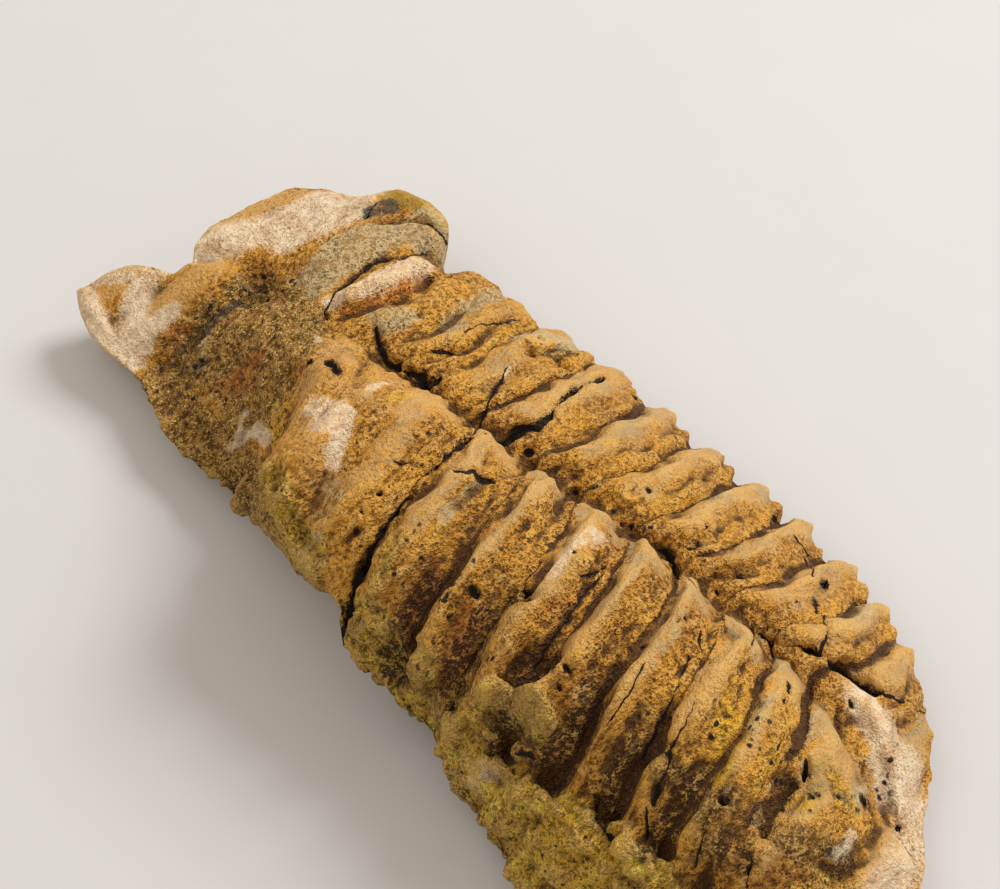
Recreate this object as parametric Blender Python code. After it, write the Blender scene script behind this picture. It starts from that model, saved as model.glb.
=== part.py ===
"""Fossil trilobite, one weathered stone, lying belly down.

The layout is in millimetres. X runs along the body from the head (-X) to the tail (+X), Y = 0 is the
midline of the raised axis, and Z is height above the surface that the stone lies on. The back is a
sheet laid over the body: its plan comes from four edge curves, its height from the body's own form,
and relief is added for rings, ribs, furrows, the broken head and the rock on the left flank. Past the
margin the sheet turns down and under to a flat belly. The finished mesh is in metres, centred on its
own footprint.
"""
import math

import bmesh
import bpy
import numpy as np

MM = 0.001
NODE = "trilobite_fossil"

# Edges of the back, seen from above: (along the edge, across it).
FRONT = [(1.4, -36.1), (2.6, -35.6), (4.2, -34.8), (5.5, -33.3), (6.4, -31.0), (8.2, -30.1),
         (9.6, -31.0), (11.5, -31.4), (13.5, -31.0), (16.0, -30.5), (19.4, -29.8)]
TAIL = [(-9.5, 40.5), (-6.0, 43.3), (-2.0, 44.7), (2.5, 44.0), (6.0, 42.2), (9.8, 39.8)]
LEFT = [(-36.1, 1.4), (-34.2, 0.1), (-31.8, -0.7), (-29.0, -0.9), (-26.6, -1.0), (-23.7, -2.3),
        (-21.0, -3.4), (-17.1, -3.8), (-14.4, -4.1), (-11.6, -5.4), (-7.0, -7.0), (-1.5, -8.3),
        (2.6, -8.9), (4.6, -10.2), (8.0, -10.2), (12.0, -10.0), (14.1, -11.2), (17.6, -11.9),
        (21.0, -13.0), (25.3, -13.9), (30.0, -14.1), (36.0, -12.6), (40.5, -9.5)]
RIGHT = [(-29.8, 19.4), (-27.5, 20.8), (-25.2, 21.8), (-23.5, 23.6), (-21.0, 24.9), (-19.0, 25.0),
         (-17.2, 23.7), (-15.5, 22.8), (-13.0, 23.6), (-8.0, 23.4), (-3.0, 23.6), (2.3, 23.3),
         (10.0, 22.6), (19.0, 21.5), (27.0, 20.1), (33.0, 17.5), (37.0, 13.4), (39.8, 9.8)]

# Height of the margin, of the furrows beside the axis and of the axis over them, along X.
MARGIN_LEFT = [(-36, 4), (-26, 3.5), (-14, 4), (-8, 6.5), (-2, 9), (3, 9), (5, 7.5), (9, 6.5),
               (13, 5), (18, 4), (30, 3.2), (40.5, 2)]
MARGIN_RIGHT = [(-29.8, 6), (-22, 6), (-14, 4.5), (0, 4), (20, 4), (30, 3.4), (39.8, 2)]
FURROW_HEIGHT = [(-36, 5.4), (-30, 6.8), (-24, 8.2), (-16, 9.8), (-8, 10.6), (5, 11), (16, 11),
                 (24, 10.6), (30, 9.4), (36, 6.8), (41, 3.9), (45, 2)]
AXIS_RISE = [(-36, 0), (-20, 1), (-12, 3.6), (-8, 4.6), (0, 4.8), (20, 4.8), (28, 4.4), (34, 3.6),
             (40, 2.2), (43, 1), (45, 0.3)]
AXIS_HALF_WIDTH = [(-36, 9), (0, 8.8), (22, 8.6), (30, 7.9), (36, 6.8), (41, 5), (45, 3.5)]
BROKEN_HEAD = (-6.5, -12.5)     # the left of the head is broken away in front of here
BROKEN_SLOPE = 9.5              # width of the slope left by the break
LEDGE_WIDTH, LEDGE_DROP = 1.6, 0.9           # rounded rim of the rock along the left flank

# Joints between the segments, measured on the ribs, and how far each leans back across the body.
JOINTS = (-14.4, -10.0, -5.8, -0.4, 5.2, 9.9, 14.6, 18.9, 23.1, 27.3, 30.7, 34.9, 39.0)
LEAN = [(-14, 3.3), (-8, 3.3), (-4, 3.2), (0, 2.8), (4.5, 1.7), (6.3, 0.9), (7.5, 0), (9, -1.0),
        (10.5, -0.6), (12, 0), (18, -0.2), (24, -1.4)]

# Profiles of a ring, a rib and a rib's tip from one joint to the next, and how high they stand.
RING = [(0, 0), (0.1, 0.2), (0.22, 0.74), (0.35, 1), (0.48, 0.93), (0.62, 0.6), (0.76, 0.36),
        (0.89, 0.18), (1, 0)]
RIB = [(0, 0), (0.1, 0.35), (0.24, 0.85), (0.38, 1), (0.5, 0.88), (0.62, 0.52), (0.72, 0.45),
       (0.84, 0.5), (0.93, 0.3), (1, 0)]
RIB_TIP = [(0, -0.6), (0.1, 0.3), (0.26, 1), (0.42, 0.9), (0.58, 0.1), (0.8, 0), (1, -0.6)]
RING_RISE = [(-14.4, 0.2), (-10, 0.3), (-6, 0.45), (-2, 0.7), (0, 0.9), (26, 1.1), (31, 0.95),
             (36, 0.55), (39, 0)]
RIB_RISE = [(-14.4, 0.6), (-8, 1), (5, 1.2), (28, 1.25), (32, 1), (35, 0.3), (37, 0)]
TIP_REACH = [(-12, 0), (-8, 0.5), (5, 0.7), (30, 0.7), (34, 0)]
PROFILE_LEVEL = 0.8             # how far up these profiles the body's own surface lies
END_GROOVES = 1.6               # how much deeper the joints are at the left ends of the rings
FAINT_END = 0.55                # how much fainter they are at the right ends
FINGER_CUT, FINGER_MIDDLE = 0.8, 0.38        # round right ends of the rings: cut at the joints, crest
FINGER_REACH, FINGER_TURN = 0.42, 1.5        # half length of an end, how fast it turns down
FURROW_LEVEL = -0.35            # floor beside those ends
VAULT = 2.6                     # fullness of the axis's cross section

# Forms along lines: (points of the line, half width, height over the body), on the head, on the
# rock of the left flank, on the tail, and the cracks.
HEAD_FORMS = [
    ([(-33.6, 3.4), (-32.2, 1.8)], 2.3, 1.1),                                        # front lobe
    ([(-30.4, 6.6), (-30.2, 3.6), (-31.4, 1.0)], 0.9, -0.5),                         # valley beside it
    ([(-27.6, 8.4), (-27.9, 5.2), (-29.2, 2.2)], 1.9, 0.6),                          # smooth ridge
    ([(-25.9, 0.8), (-25.0, 3.8), (-23.9, 6.0), (-23.4, 8.4)], 1.3, -1.0),           # its dark foot
    ([(-30.4, 8.4), (-27.5, 9.9), (-24.0, 10.3)], 0.9, -1.3),                        # notch
    ([(-29.4, 12.0), (-28.2, 15.5), (-26.8, 19.0)], 2.6, 0.8),                       # cheek lobe
    ([(-24.2, 9.8), (-22.0, 5.0), (-19.0, 3.0)], 3.0, -1.3),                         # gritty hollow
    ([(-23.2, 21.6), (-22.6, 23.6), (-20.4, 24.4), (-18.3, 23.8)], 1.3, 1.2),        # hooked rim
    ([(-17.0, 23.6), (-16.4, 21.8)], 0.9, -1.5),                                     # notch behind it
    ([(-21.3, 13.5), (-20.4, 18.0)], 2.4, 0.8),                                      # gritty swelling
    ([(-16.6, 12.4), (-16.5, 18.6)], 1.5, 0.9),                                      # crusted block
    ([(-17.9, 17.0), (-17.7, 13.6), (-17.2, 11.0), (-15.6, 8.6), (-13.8, 7.3)], 0.7, -0.8),
    ([(-14.9, 18.8), (-13.4, 16.6), (-13.6, 14.4)], 0.8, -0.9),                      # step behind it
    ([(-12.2, 10.1), (-10.9, 9.2), (-9.0, 8.4), (-7.9, 8.4), (-6.1, 9.0), (-4.7, 9.2)], 0.7, -0.9),
    ([(-11.0, 4.0), (-8.6, 3.0)], 0.6, -0.7),                                        # lens-shaped hole
]
FLANK_FORMS = [
    ([(16.6, -8.2), (18.6, -7.3), (20.8, -8.2)], 0.8, 1.5),                          # crust lump
    ([(15.6, -9.6), (19.0, -9.2), (22.8, -9.3)], 0.6, -1.4),                         # slot under it
    ([(24.0, -11.5), (29.0, -12.0)], 2.2, 0.8),                                      # yellow slab
    ([(28.4, -8.7), (30.8, -9.2)], 1.4, 0.9),
    ([(26.4, -9.2), (27.8, -9.8)], 0.5, -0.8),
    ([(4.6, -9.4), (6.4, -9.8)], 1.0, 0.8),
]
TAIL_FORMS = [
    ([(33.4, 8.8), (35.2, 8.8), (37.0, 7.8), (38.4, 6.6), (39.4, 4.8), (39.8, 2.4), (39.4, -1.0)],
     0.8, -0.7),                                                                     # border groove
]
CRACKS = [
    ([(3.7, -9.9), (2.9, -8.2), (2.6, -6.1), (2.2, -4.1), (2.1, -0.9), (2.1, 1.4), (1.8, 3.3),
      (1.2, 5.6), (1.3, 7.1), (1.5, 8.8), (1.9, 10.9), (2.6, 11.5), (2.5, 12.9), (2.1, 14.1),
      (1.5, 17.0), (1.0, 20.6)], 0.5, -1.0),
    ([(25.4, 8.7), (27.1, 9.1), (28.6, 10.1), (31.0, 11.3), (32.9, 11.9), (34.1, 13.2),
      (35.4, 15.1)], 0.5, -0.8),
]
# Hollows: (x, y, half length, half width, depth).
HOLLOWS = [(35.2, -0.2, 0.9, 2.6, 1.4), (32.0, 11.6, 1.1, 0.8, 1.2), (14.2, -2.6, 0.8, 0.7, 0.9),
           (-1.8, 19.3, 0.8, 0.7, 1.2), (-3.7, 17.8, 0.7, 0.8, 1.0)]

# How far the stone draws in under its margin: rounded at the right and the ends, sloping on the left.
TUCK, TUCK_RIGHT = 1.5, 2.0
UNDERCUT = 0.72                 # inward per millimetre of height on the broken left side
CORE = ((-20.0, 9.5), (27.0, 3.5))           # core line that the margins draw in towards
LUMPS = [(6.0, 0.6, 3), (2.6, 0.4, 8)]       # broken rock: (size, height, seed)

# Rows of the sheet. U is X measured along the leaning joints.
U_FRONT, U_TAIL = -33.0, 41.0
LEFT_RUN = [(-33, -36.1), (-26, -26.5), (-14, -11.5), (0, 3.3), (30, 33.3), (36, 38), (41, 40.5)]
RIGHT_RUN = [(-33, -29.8), (-26, -25.2), (-14, -15.4), (-4, -5.4), (12, 10.8), (24, 23.5), (32, 31.9),
             (41, 39.8)]
HEAD_ROWS, TAIL_ROWS, COLUMNS, WALL_ROWS = 24, 8, 40, 4
SEGMENT_ROWS = (0, 0.13, 0.33, 0.62, 0.87)


def glide(points, t):
    """Smooth curve through (t, value) points, read at t and level past its ends."""
    x, y = np.array(points, float).T
    slope = np.gradient(y, x)
    t = np.clip(t, x[0], x[-1])
    i = np.clip(np.searchsorted(x, t) - 1, 0, len(x) - 2)
    h = x[i + 1] - x[i]
    u = (t - x[i]) / h
    return (y[i] * (1 + 2 * u) * (1 - u) ** 2 + slope[i] * h * u * (1 - u) ** 2
            + y[i + 1] * u ** 2 * (3 - 2 * u) + slope[i + 1] * h * u ** 2 * (u - 1))


def ease(start, end, t):
    """0 at start, 1 at end, with level ends."""
    t = np.clip((t - start) / (end - start), 0, 1)
    return t * t * (3 - 2 * t)


def near(line, x, y):
    """Distance in plan from a line through points."""
    best = np.full(np.shape(x), np.inf)
    for (ax, ay), (bx, by) in zip(line, line[1:]):
        dx, dy = bx - ax, by - ay
        t = np.clip(((x - ax) * dx + (y - ay) * dy) / (dx * dx + dy * dy), 0, 1)
        best = np.minimum(best, np.hypot(x - ax - t * dx, y - ay - t * dy))
    return best


def noise(p, size, seed):
    """Smooth lattice noise from -1 to 1 at points p."""
    q = p / size + seed
    cell = np.floor(q).astype(np.int64)
    f = q - cell
    f = f * f * (3 - 2 * f)
    total = 0
    for corner in np.ndindex(2, 2, 2):
        c = cell + corner
        h = (c[..., 0] * 73856093) ^ (c[..., 1] * 19349663) ^ (c[..., 2] * 83492791) ^ (seed * 2654435)
        h = ((h ^ (h >> 13)) * 1274126177) & 0x7FFFFFFF
        value = ((h ^ (h >> 16)) & 0xFFFF) / 32767.5 - 1
        total = total + value * np.prod(np.where(corner, f, 1 - f), axis=-1)
    return total


def phase(u):
    """How far u is between two joints, 0 to 1."""
    joints = np.array(JOINTS)
    k = np.clip(np.searchsorted(joints, u) - 1, 0, len(joints) - 2)
    return np.clip((u - joints[k]) / (joints[k + 1] - joints[k]), 0, 1)


def plan(u, w, tips=1.0):
    """Point of the back seen from above: u along the body, w from 0 at the left edge to 1."""
    at_front = (1 - ease(U_FRONT, U_FRONT + 16, u))[..., None]
    at_tail = ease(U_TAIL - 12, U_TAIL, u)[..., None]
    front_y = FRONT[0][0] + (FRONT[-1][0] - FRONT[0][0]) * w
    tail_y = TAIL[0][0] + (TAIL[-1][0] - TAIL[0][0]) * w
    left_x, right_x = glide(LEFT_RUN, u), glide(RIGHT_RUN, u)
    front = np.stack([glide(FRONT, front_y), front_y], -1)
    tail = np.stack([glide(TAIL, tail_y), tail_y], -1)
    left = np.stack([left_x, glide(LEFT, left_x)], -1)
    tip = glide(RIB_TIP, phase(u)) * glide(TIP_REACH, u) * tips
    right = np.stack([right_x, glide(RIGHT, right_x) + tip], -1)
    w1 = w[..., None]
    front_chord = (1 - w1) * LEFT[0] + w1 * RIGHT[0]
    tail_chord = (1 - w1) * LEFT[-1] + w1 * RIGHT[-1]
    p = (1 - w1) * left + w1 * right + at_front * (front - front_chord) + at_tail * (tail - tail_chord)
    straight = (1 - w) * left_x + w * right_x
    leaning = ease(U_FRONT + 8, -14, u) * (1 - ease(34, U_TAIL, u))
    edge = 0.04 + 0.26 * ease(31, 37, u)
    leaning *= ease(0, edge, w) * ease(1, 1 - edge, w)
    p[..., 0] += (u + glide(LEAN, p[..., 1]) - straight) * leaning
    return p


def finger_cut(y, u):
    """How far the axis draws in at the joints on its right, so that each ring ends round."""
    off_crest = np.clip((phase(u) - FINGER_MIDDLE) / FINGER_REACH, -1, 1) ** 2
    return FINGER_CUT * off_crest * ease(2, 6.5, y) * ease(-4, 0, u) * ease(37, 33, u)


def body_height(x, y, u):
    """The back without its relief: vaulted axis, ribs falling to the margin, broken head."""
    furrow, half = glide(FURROW_HEIGHT, x), glide(AXIS_HALF_WIDTH, x)
    right_end = np.where(x > RIGHT[-1][0], RIGHT[-1][1] - (x - RIGHT[-1][0]) * 1.2, glide(RIGHT, x))
    left_end = glide(LEFT, x)
    vault = np.abs((y + finger_cut(y, u)) / half) ** VAULT
    z = furrow + glide(AXIS_RISE, x) * np.clip(1 - vault, 0, 1)
    right = np.clip((y - half) / np.maximum(right_end - half, 1), 0, 1.3)
    z -= (furrow - glide(MARGIN_RIGHT, x)) * right ** 2.1
    left = np.clip((-half - y) / np.maximum(-half - left_end, 0.8), 0, 1.3)
    low = glide(MARGIN_LEFT, x)
    z -= (furrow - low) * left ** 1.2
    z -= LEDGE_DROP * ease(LEDGE_WIDTH, 0, y - left_end) * ease(0, 5, x)
    broken = ease(*BROKEN_HEAD, x) * (1 - ease(0, BROKEN_SLOPE, y - left_end))
    return z - broken * np.maximum(z - low, 0)


def segment_relief(x, y, u):
    """Rings across the axis and ribs beside it."""
    f = phase(u)
    half = glide(AXIS_HALF_WIDTH, x)
    rise = glide(RING_RISE, u)
    ring = (glide(RING, f) - PROFILE_LEVEL) * rise
    ring *= 1 + END_GROOVES * ease(1, -7.2, y) * ease(35, 28, x)
    ring *= ease(-half - 1.4, -half + 0.4, y) * (1 - FAINT_END * ease(2.5, 7, y))
    finger = ease(half + 0.2, half - 1.5, y + FINGER_TURN * finger_cut(y, u))
    rib = (glide(RIB, f) - PROFILE_LEVEL) * glide(RIB_RISE, u)
    rib *= 0.5 + 0.5 * ease(half + 1, half + 6, y)
    beside = ease(half + 0.2, half + 2.2, y)
    low = FURROW_LEVEL * rise * (1 - finger) * (1 - beside)
    return (ring * finger + rib * beside + low) * ease(-15.5, -12.5, u)


def furrow_relief(x, y, u):
    """The furrows on both sides of the axis, with a pit at each joint on the right."""
    f = phase(u)
    half = glide(AXIS_HALF_WIDTH, x)
    trough = np.exp(-((y - half - 0.1) / 0.8) ** 2)
    right = -0.3 * trough * ease(-18, -15, x) * (1 - ease(37, 40, x))
    pits = -0.6 * trough * np.exp(-(np.minimum(f, 1 - f) / 0.15) ** 2)
    pits *= ease(-7, -4, u) * (1 - ease(30, 33, u))
    left = -1.1 * np.exp(-((y + half + 0.2) / 0.9) ** 2) * ease(3, 6, x) * (1 - ease(36, 40, x))
    return right + pits + left


def relief(x, y, u):
    """Everything that stands out of the body or is sunk in it."""
    z = segment_relief(x, y, u) + furrow_relief(x, y, u)
    for line, width, height in HEAD_FORMS + FLANK_FORMS + TAIL_FORMS + CRACKS:
        z += height * np.exp(-(near(line, x, y) / width) ** 2)
    for cx, cy, length, width, depth in HOLLOWS:
        z -= depth * np.exp(-((x - cx) / length) ** 2 - ((y - cy) / width) ** 2)
    return z


def rough_rock(x, y):
    """1 on the broken head and the rock of the left flank, 0 on the shell."""
    half = glide(AXIS_HALF_WIDTH, x)
    flank = ease(-half, -half - 1.0, y) * ease(2, 5, x)
    head = ease(-9.5, -12, x) * ease(-27, -24, x) * ease(11, 8, y)
    return np.maximum(flank, head)


def outward(x, y):
    """Directions in plan that point away from the stone's core line."""
    (ax, ay), (bx, by) = CORE
    dx, dy = bx - ax, by - ay
    t = np.clip(((x - ax) * dx + (y - ay) * dy) / (dx * dx + dy * dy), 0, 1)
    out = np.stack([x - ax - t * dx, y - ay - t * dy], -1)
    return out / (np.linalg.norm(out, axis=-1, keepdims=True) + 1e-9)


def surface(u, w, depth):
    """Points of the stone: depth 0 is the back, depth 1 the edge of the flat belly."""
    tips = 1 - ease(0, 0.7, depth)
    p = plan(u, w, tips)
    x, y = p[..., 0], p[..., 1]
    rock = np.maximum(rough_rock(x, y), ease(0, 0.3, depth))
    top = body_height(x, y, u) + relief(x, y, u)
    out = outward(x, y)
    broken = ease(0.3, -0.6, out[..., 1])
    turn = depth * math.pi / 2
    rounded = (TUCK + TUCK_RIGHT * ease(0.2, 0.9, out[..., 1])) * (1 - np.cos(turn))
    inward = rounded * (1 - broken) + UNDERCUT * top * depth ** 1.1 * broken
    fall = np.sin(turn) * (1 - broken) + depth * broken
    p = p - out * inward[..., None]
    point = np.concatenate([p, (top * (1 - fall))[..., None]], -1)
    swell = sum(height * noise(point, size, seed) for size, height, seed in LUMPS) * rock
    point[..., :2] += out * (swell * np.sin(2 * turn))[..., None]
    point[..., 2] += swell * np.cos(turn) ** 2
    return point


def rows_along():
    """U of each row on the back: close where a ring turns, even on the head and tail."""
    head = np.linspace(U_FRONT, JOINTS[0], HEAD_ROWS, endpoint=False)
    rings = [a + (b - a) * part for a, b in zip(JOINTS, JOINTS[1:-1]) for part in SEGMENT_ROWS]
    return np.concatenate([head, rings, np.linspace(JOINTS[-2], U_TAIL, TAIL_ROWS)])


def columns_across():
    """W of each column, closer together on the steep left side."""
    t = np.linspace(0, 1, COLUMNS + 1)
    return t - 0.06 * np.sin(math.pi * t) * (1 - t)


def sheet_point_arrays(a, b, rows, columns):
    """Sheet coordinates (u, w, depth) of grid nodes numbered a along the body and b across it."""
    half_a, half_b = (len(rows) - 1) / 2, (len(columns) - 1) / 2
    ca, cb = a - WALL_ROWS - half_a, b - WALL_ROWS - half_b
    over_a, over_b = np.abs(ca) - half_a, np.abs(cb) - half_b
    level = np.maximum(np.maximum(over_a, over_b), 0)
    ca = ca * half_a / (half_a + level)
    cb = cb * half_b / (half_b + level)
    u = np.interp(ca + half_a, np.arange(len(rows)), rows)
    w = np.interp(cb + half_b, np.arange(len(columns)), columns)
    return u, w, level / WALL_ROWS


def stone_material():
    """Matt ochre-brown fossil limestone."""
    material = bpy.data.materials.new("fossil_stone")
    material.use_nodes = True
    shader = material.node_tree.nodes["Principled BSDF"]
    shader.inputs["Base Color"].default_value = (0.42, 0.25, 0.09, 1)
    shader.inputs["Roughness"].default_value = 0.85
    return material


def make_fossil():
    """Lays a grid over the body, closes it with the flat belly and centres it."""
    rows, columns = rows_along(), columns_across()
    along, across = len(rows) + 2 * WALL_ROWS, len(columns) + 2 * WALL_ROWS
    bm = bmesh.new()
    bmesh.ops.create_grid(bm, x_segments=along - 1, y_segments=across - 1, size=1)
    grid = np.array([v.co for v in bm.verts])
    a = np.rint((grid[:, 0] + 1) / 2 * (along - 1))
    b = np.rint((grid[:, 1] + 1) / 2 * (across - 1))
    points = surface(*sheet_point_arrays(a, b, rows, columns))
    points[:, :2] -= (points[:, :2].min(axis=0) + points[:, :2].max(axis=0)) / 2
    for vertex, point in zip(bm.verts, points):
        vertex.co = point * MM
    bmesh.ops.holes_fill(bm, edges=[e for e in bm.edges if e.is_boundary], sides=0)
    bmesh.ops.triangulate(bm, faces=bm.faces)
    bmesh.ops.recalc_face_normals(bm, faces=bm.faces)
    if bm.calc_volume(signed=True) < 0:
        bmesh.ops.reverse_faces(bm, faces=bm.faces)
    mesh = bpy.data.meshes.new(NODE)
    bm.to_mesh(mesh)
    bm.free()
    mesh.materials.append(stone_material())
    mesh.shade_smooth()
    fossil = bpy.data.objects.new(NODE, mesh)
    bpy.context.scene.collection.objects.link(fossil)
    return fossil


def main():
    for item in list(bpy.data.objects):
        bpy.data.objects.remove(item, do_unlink=True)
    make_fossil()


if __name__ == "__main__":
    main()
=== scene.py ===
"""Weathered fossil trilobite on a pale table, as a Blender add-on that is run as a script.

The stone is one sheet laid over the body, turned down and under at its margin and closed by a flat
belly. Layout lengths are in millimetres: X runs from the head (-X) to the tail (+X), Y = 0 is the
midline of the raised axis and Z is height above the table. U is X measured along the leaning joints
between the segments. Meshes are in metres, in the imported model's frame.
"""
import math

import bmesh
import bpy
import numpy as np
from bpy.props import FloatProperty, FloatVectorProperty, IntProperty, PointerProperty
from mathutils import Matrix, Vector


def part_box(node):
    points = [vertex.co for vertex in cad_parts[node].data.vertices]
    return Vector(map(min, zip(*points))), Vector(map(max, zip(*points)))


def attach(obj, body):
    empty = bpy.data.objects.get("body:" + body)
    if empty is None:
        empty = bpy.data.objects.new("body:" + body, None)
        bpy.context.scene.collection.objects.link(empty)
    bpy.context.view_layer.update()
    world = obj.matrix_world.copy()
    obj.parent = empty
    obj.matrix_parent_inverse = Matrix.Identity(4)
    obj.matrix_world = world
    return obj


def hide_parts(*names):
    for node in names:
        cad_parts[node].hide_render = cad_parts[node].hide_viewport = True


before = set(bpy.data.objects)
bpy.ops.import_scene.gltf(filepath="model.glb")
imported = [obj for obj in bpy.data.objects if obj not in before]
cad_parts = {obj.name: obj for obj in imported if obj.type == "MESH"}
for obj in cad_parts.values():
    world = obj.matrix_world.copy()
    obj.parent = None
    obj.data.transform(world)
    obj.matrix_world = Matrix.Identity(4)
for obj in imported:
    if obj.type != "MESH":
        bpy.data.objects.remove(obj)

bl_info = {
    "name": "Fossil trilobite",
    "version": (1, 0, 0),
    "blender": (4, 5, 0),
    "location": "View3D > Sidebar > Fossil",
    "description": "Builds a weathered fossil trilobite and the table that it lies on",
    "category": "Add Mesh",
}

MM = 0.001
NODE = "trilobite_fossil"
CAD_LOW, CAD_HIGH = (np.array(corner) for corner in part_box(NODE))
FOOTPRINT_CENTRE = (4.320, 5.481)  # layout point that lies at the frame's origin

# ---------------------------------------------------------------- the body, as in the solid

# Edges of the back, seen from above: (along the edge, across it).
FRONT = [(1.4, -36.1), (2.6, -35.6), (4.2, -34.8), (5.5, -33.3), (6.4, -31.0), (8.2, -30.1),
         (9.6, -31.0), (11.5, -31.4), (13.5, -31.0), (16.0, -30.5), (19.4, -29.8)]
TAIL = [(-9.5, 40.5), (-6.0, 43.3), (-2.0, 44.7), (2.5, 44.0), (6.0, 42.2), (9.8, 39.8)]
LEFT = [(-36.1, 1.4), (-34.2, 0.1), (-31.8, -0.7), (-29.0, -0.9), (-26.6, -1.0), (-23.7, -2.3),
        (-21.0, -3.4), (-17.1, -3.8), (-14.4, -4.0), (-11.6, -5.0), (-7.0, -7.0), (-1.5, -8.3),
        (2.6, -8.9), (4.6, -10.2), (8.0, -10.2), (12.0, -10.0), (14.1, -11.2), (17.6, -11.9),
        (21.0, -13.0), (25.3, -13.9), (30.0, -14.1), (36.0, -12.6), (40.5, -9.5)]
RIGHT = [(-29.8, 19.4), (-27.5, 20.8), (-25.2, 21.8), (-23.5, 23.6), (-21.0, 24.9), (-19.2, 25.0),
         (-18.1, 24.5), (-17.2, 22.8), (-15.5, 22.5), (-13.0, 23.6), (-8.0, 23.4), (-3.0, 23.6),
         (2.3, 23.3), (10.0, 22.6), (19.0, 21.5), (27.0, 20.1), (33.0, 17.5), (37.0, 13.4), (39.8, 9.8)]

# Height of the margin, of the furrows beside the axis and of the axis over them, along X.
MARGIN_LEFT = [(-36, 4), (-26, 3.5), (-14, 4), (-8, 6.5), (-2, 9), (3, 9), (5, 7.5), (9, 6.5),
               (13, 5), (18, 4), (30, 3.2), (40.5, 2)]
MARGIN_RIGHT = [(-29.8, 6), (-22, 6), (-14, 4.5), (0, 4), (20, 4), (30, 3.4), (39.8, 2)]
FURROW_HEIGHT = [(-36, 5.4), (-30, 6.8), (-24, 8.2), (-16, 9.8), (-8, 10.6), (5, 11), (16, 11),
                 (24, 10.6), (30, 9.4), (36, 6.8), (41, 3.9), (45, 2)]
AXIS_RISE = [(-36, 0), (-20, 1), (-12, 3.6), (-8, 4.6), (0, 4.8), (20, 4.8), (28, 4.4), (34, 3.6),
             (40, 2.2), (43, 1), (45, 0.3)]
AXIS_HALF_WIDTH = [(-36, 9), (0, 8.8), (22, 8.6), (30, 7.9), (36, 6.8), (41, 5), (45, 3.5)]
BROKEN_HEAD = (-6.5, -12.5)  # X where the left of the head starts to fall away, and where all of it has
BROKEN_SLOPE = 9.5  # width of the slope that is left there
LEDGE_WIDTH, LEDGE_DROP = 1.6, 0.9  # step down along the left edge of the trunk
RIB_FALL, FLANK_FALL = 2.1, 1.2  # powers by which the right and the left side fall to the margin

# Furrows beside the axis: (depth, half width), and the pits in the right one: (depth, share of a segment).
FURROW_RIGHT, FURROW_LEFT, FURROW_PIT = (0.3, 0.8), (1.1, 0.9), (0.6, 0.15)

# Joints between the segments, measured on the ribs, and how far each leans back across the body.
JOINTS = (-14.4, -10.0, -5.8, -0.4, 5.2, 9.9, 14.6, 18.9, 23.1, 27.3, 30.7, 34.9, 39.0)
LEAN = [(-14, 3.3), (-8, 3.3), (-4, 3.2), (0, 2.8), (4.5, 1.7), (6.3, 0.9), (7.5, 0), (9, -1.0),
        (10.5, -0.6), (12, 0), (18, -0.2), (24, -1.4)]

# Profiles of a ring, a rib and a rib's tip from one joint to the next, and how high they stand.
RING = [(0, 0), (0.1, 0.2), (0.22, 0.74), (0.35, 1), (0.48, 0.93), (0.62, 0.6), (0.76, 0.36),
        (0.89, 0.18), (1, 0)]
RIB = [(0, 0), (0.1, 0.35), (0.24, 0.85), (0.38, 1), (0.5, 0.88), (0.62, 0.52), (0.72, 0.45),
       (0.84, 0.5), (0.93, 0.3), (1, 0)]
RIB_TIP = [(0, -0.6), (0.1, 0.3), (0.26, 1), (0.42, 0.9), (0.58, 0.1), (0.8, 0), (1, -0.6)]
RING_RISE = [(-14.4, 0.2), (-10, 0.3), (-6, 0.45), (-2, 0.7), (0, 0.9), (26, 1.1), (29, 0.9),
             (32, 0.65), (36, 0.35), (39, 0)]
RIB_RISE = [(-14.4, 0.6), (-8, 1), (5, 1.2), (28, 1.25), (32, 1), (35, 0.3), (37, 0)]
TIP_REACH = [(-12, 0), (-8, 0.5), (5, 0.7), (30, 0.7), (34, 0)]
PROFILE_LEVEL = 0.8  # how far up these profiles the body's own surface lies
END_GROOVES = 1.6  # how much deeper the joints are at the left ends of the rings
FAINT_END = 0.55  # how much fainter they are at the right ends
FINGER_CUT, FINGER_MIDDLE = 0.8, 0.38  # round right ends of the rings: cut at the joints, crest
FINGER_REACH, FINGER_TURN = 0.42, 1.5  # half length of an end, how fast it turns down
FURROW_LEVEL = -0.35  # floor beside those ends
VAULT = 2.6  # fullness of the axis's cross section

# Inner edge of the tail's border, which has fine terraces beside it.
BORDER = [(33.4, 8.8), (35.2, 8.8), (37.0, 7.8), (38.4, 6.6), (39.4, 4.8), (39.8, 2.4), (39.4, -1.0)]
BORDER_CENTRE, BORDER_RADIUS = 22, 17.2  # the terraces lie outside this circle on the midline

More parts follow.
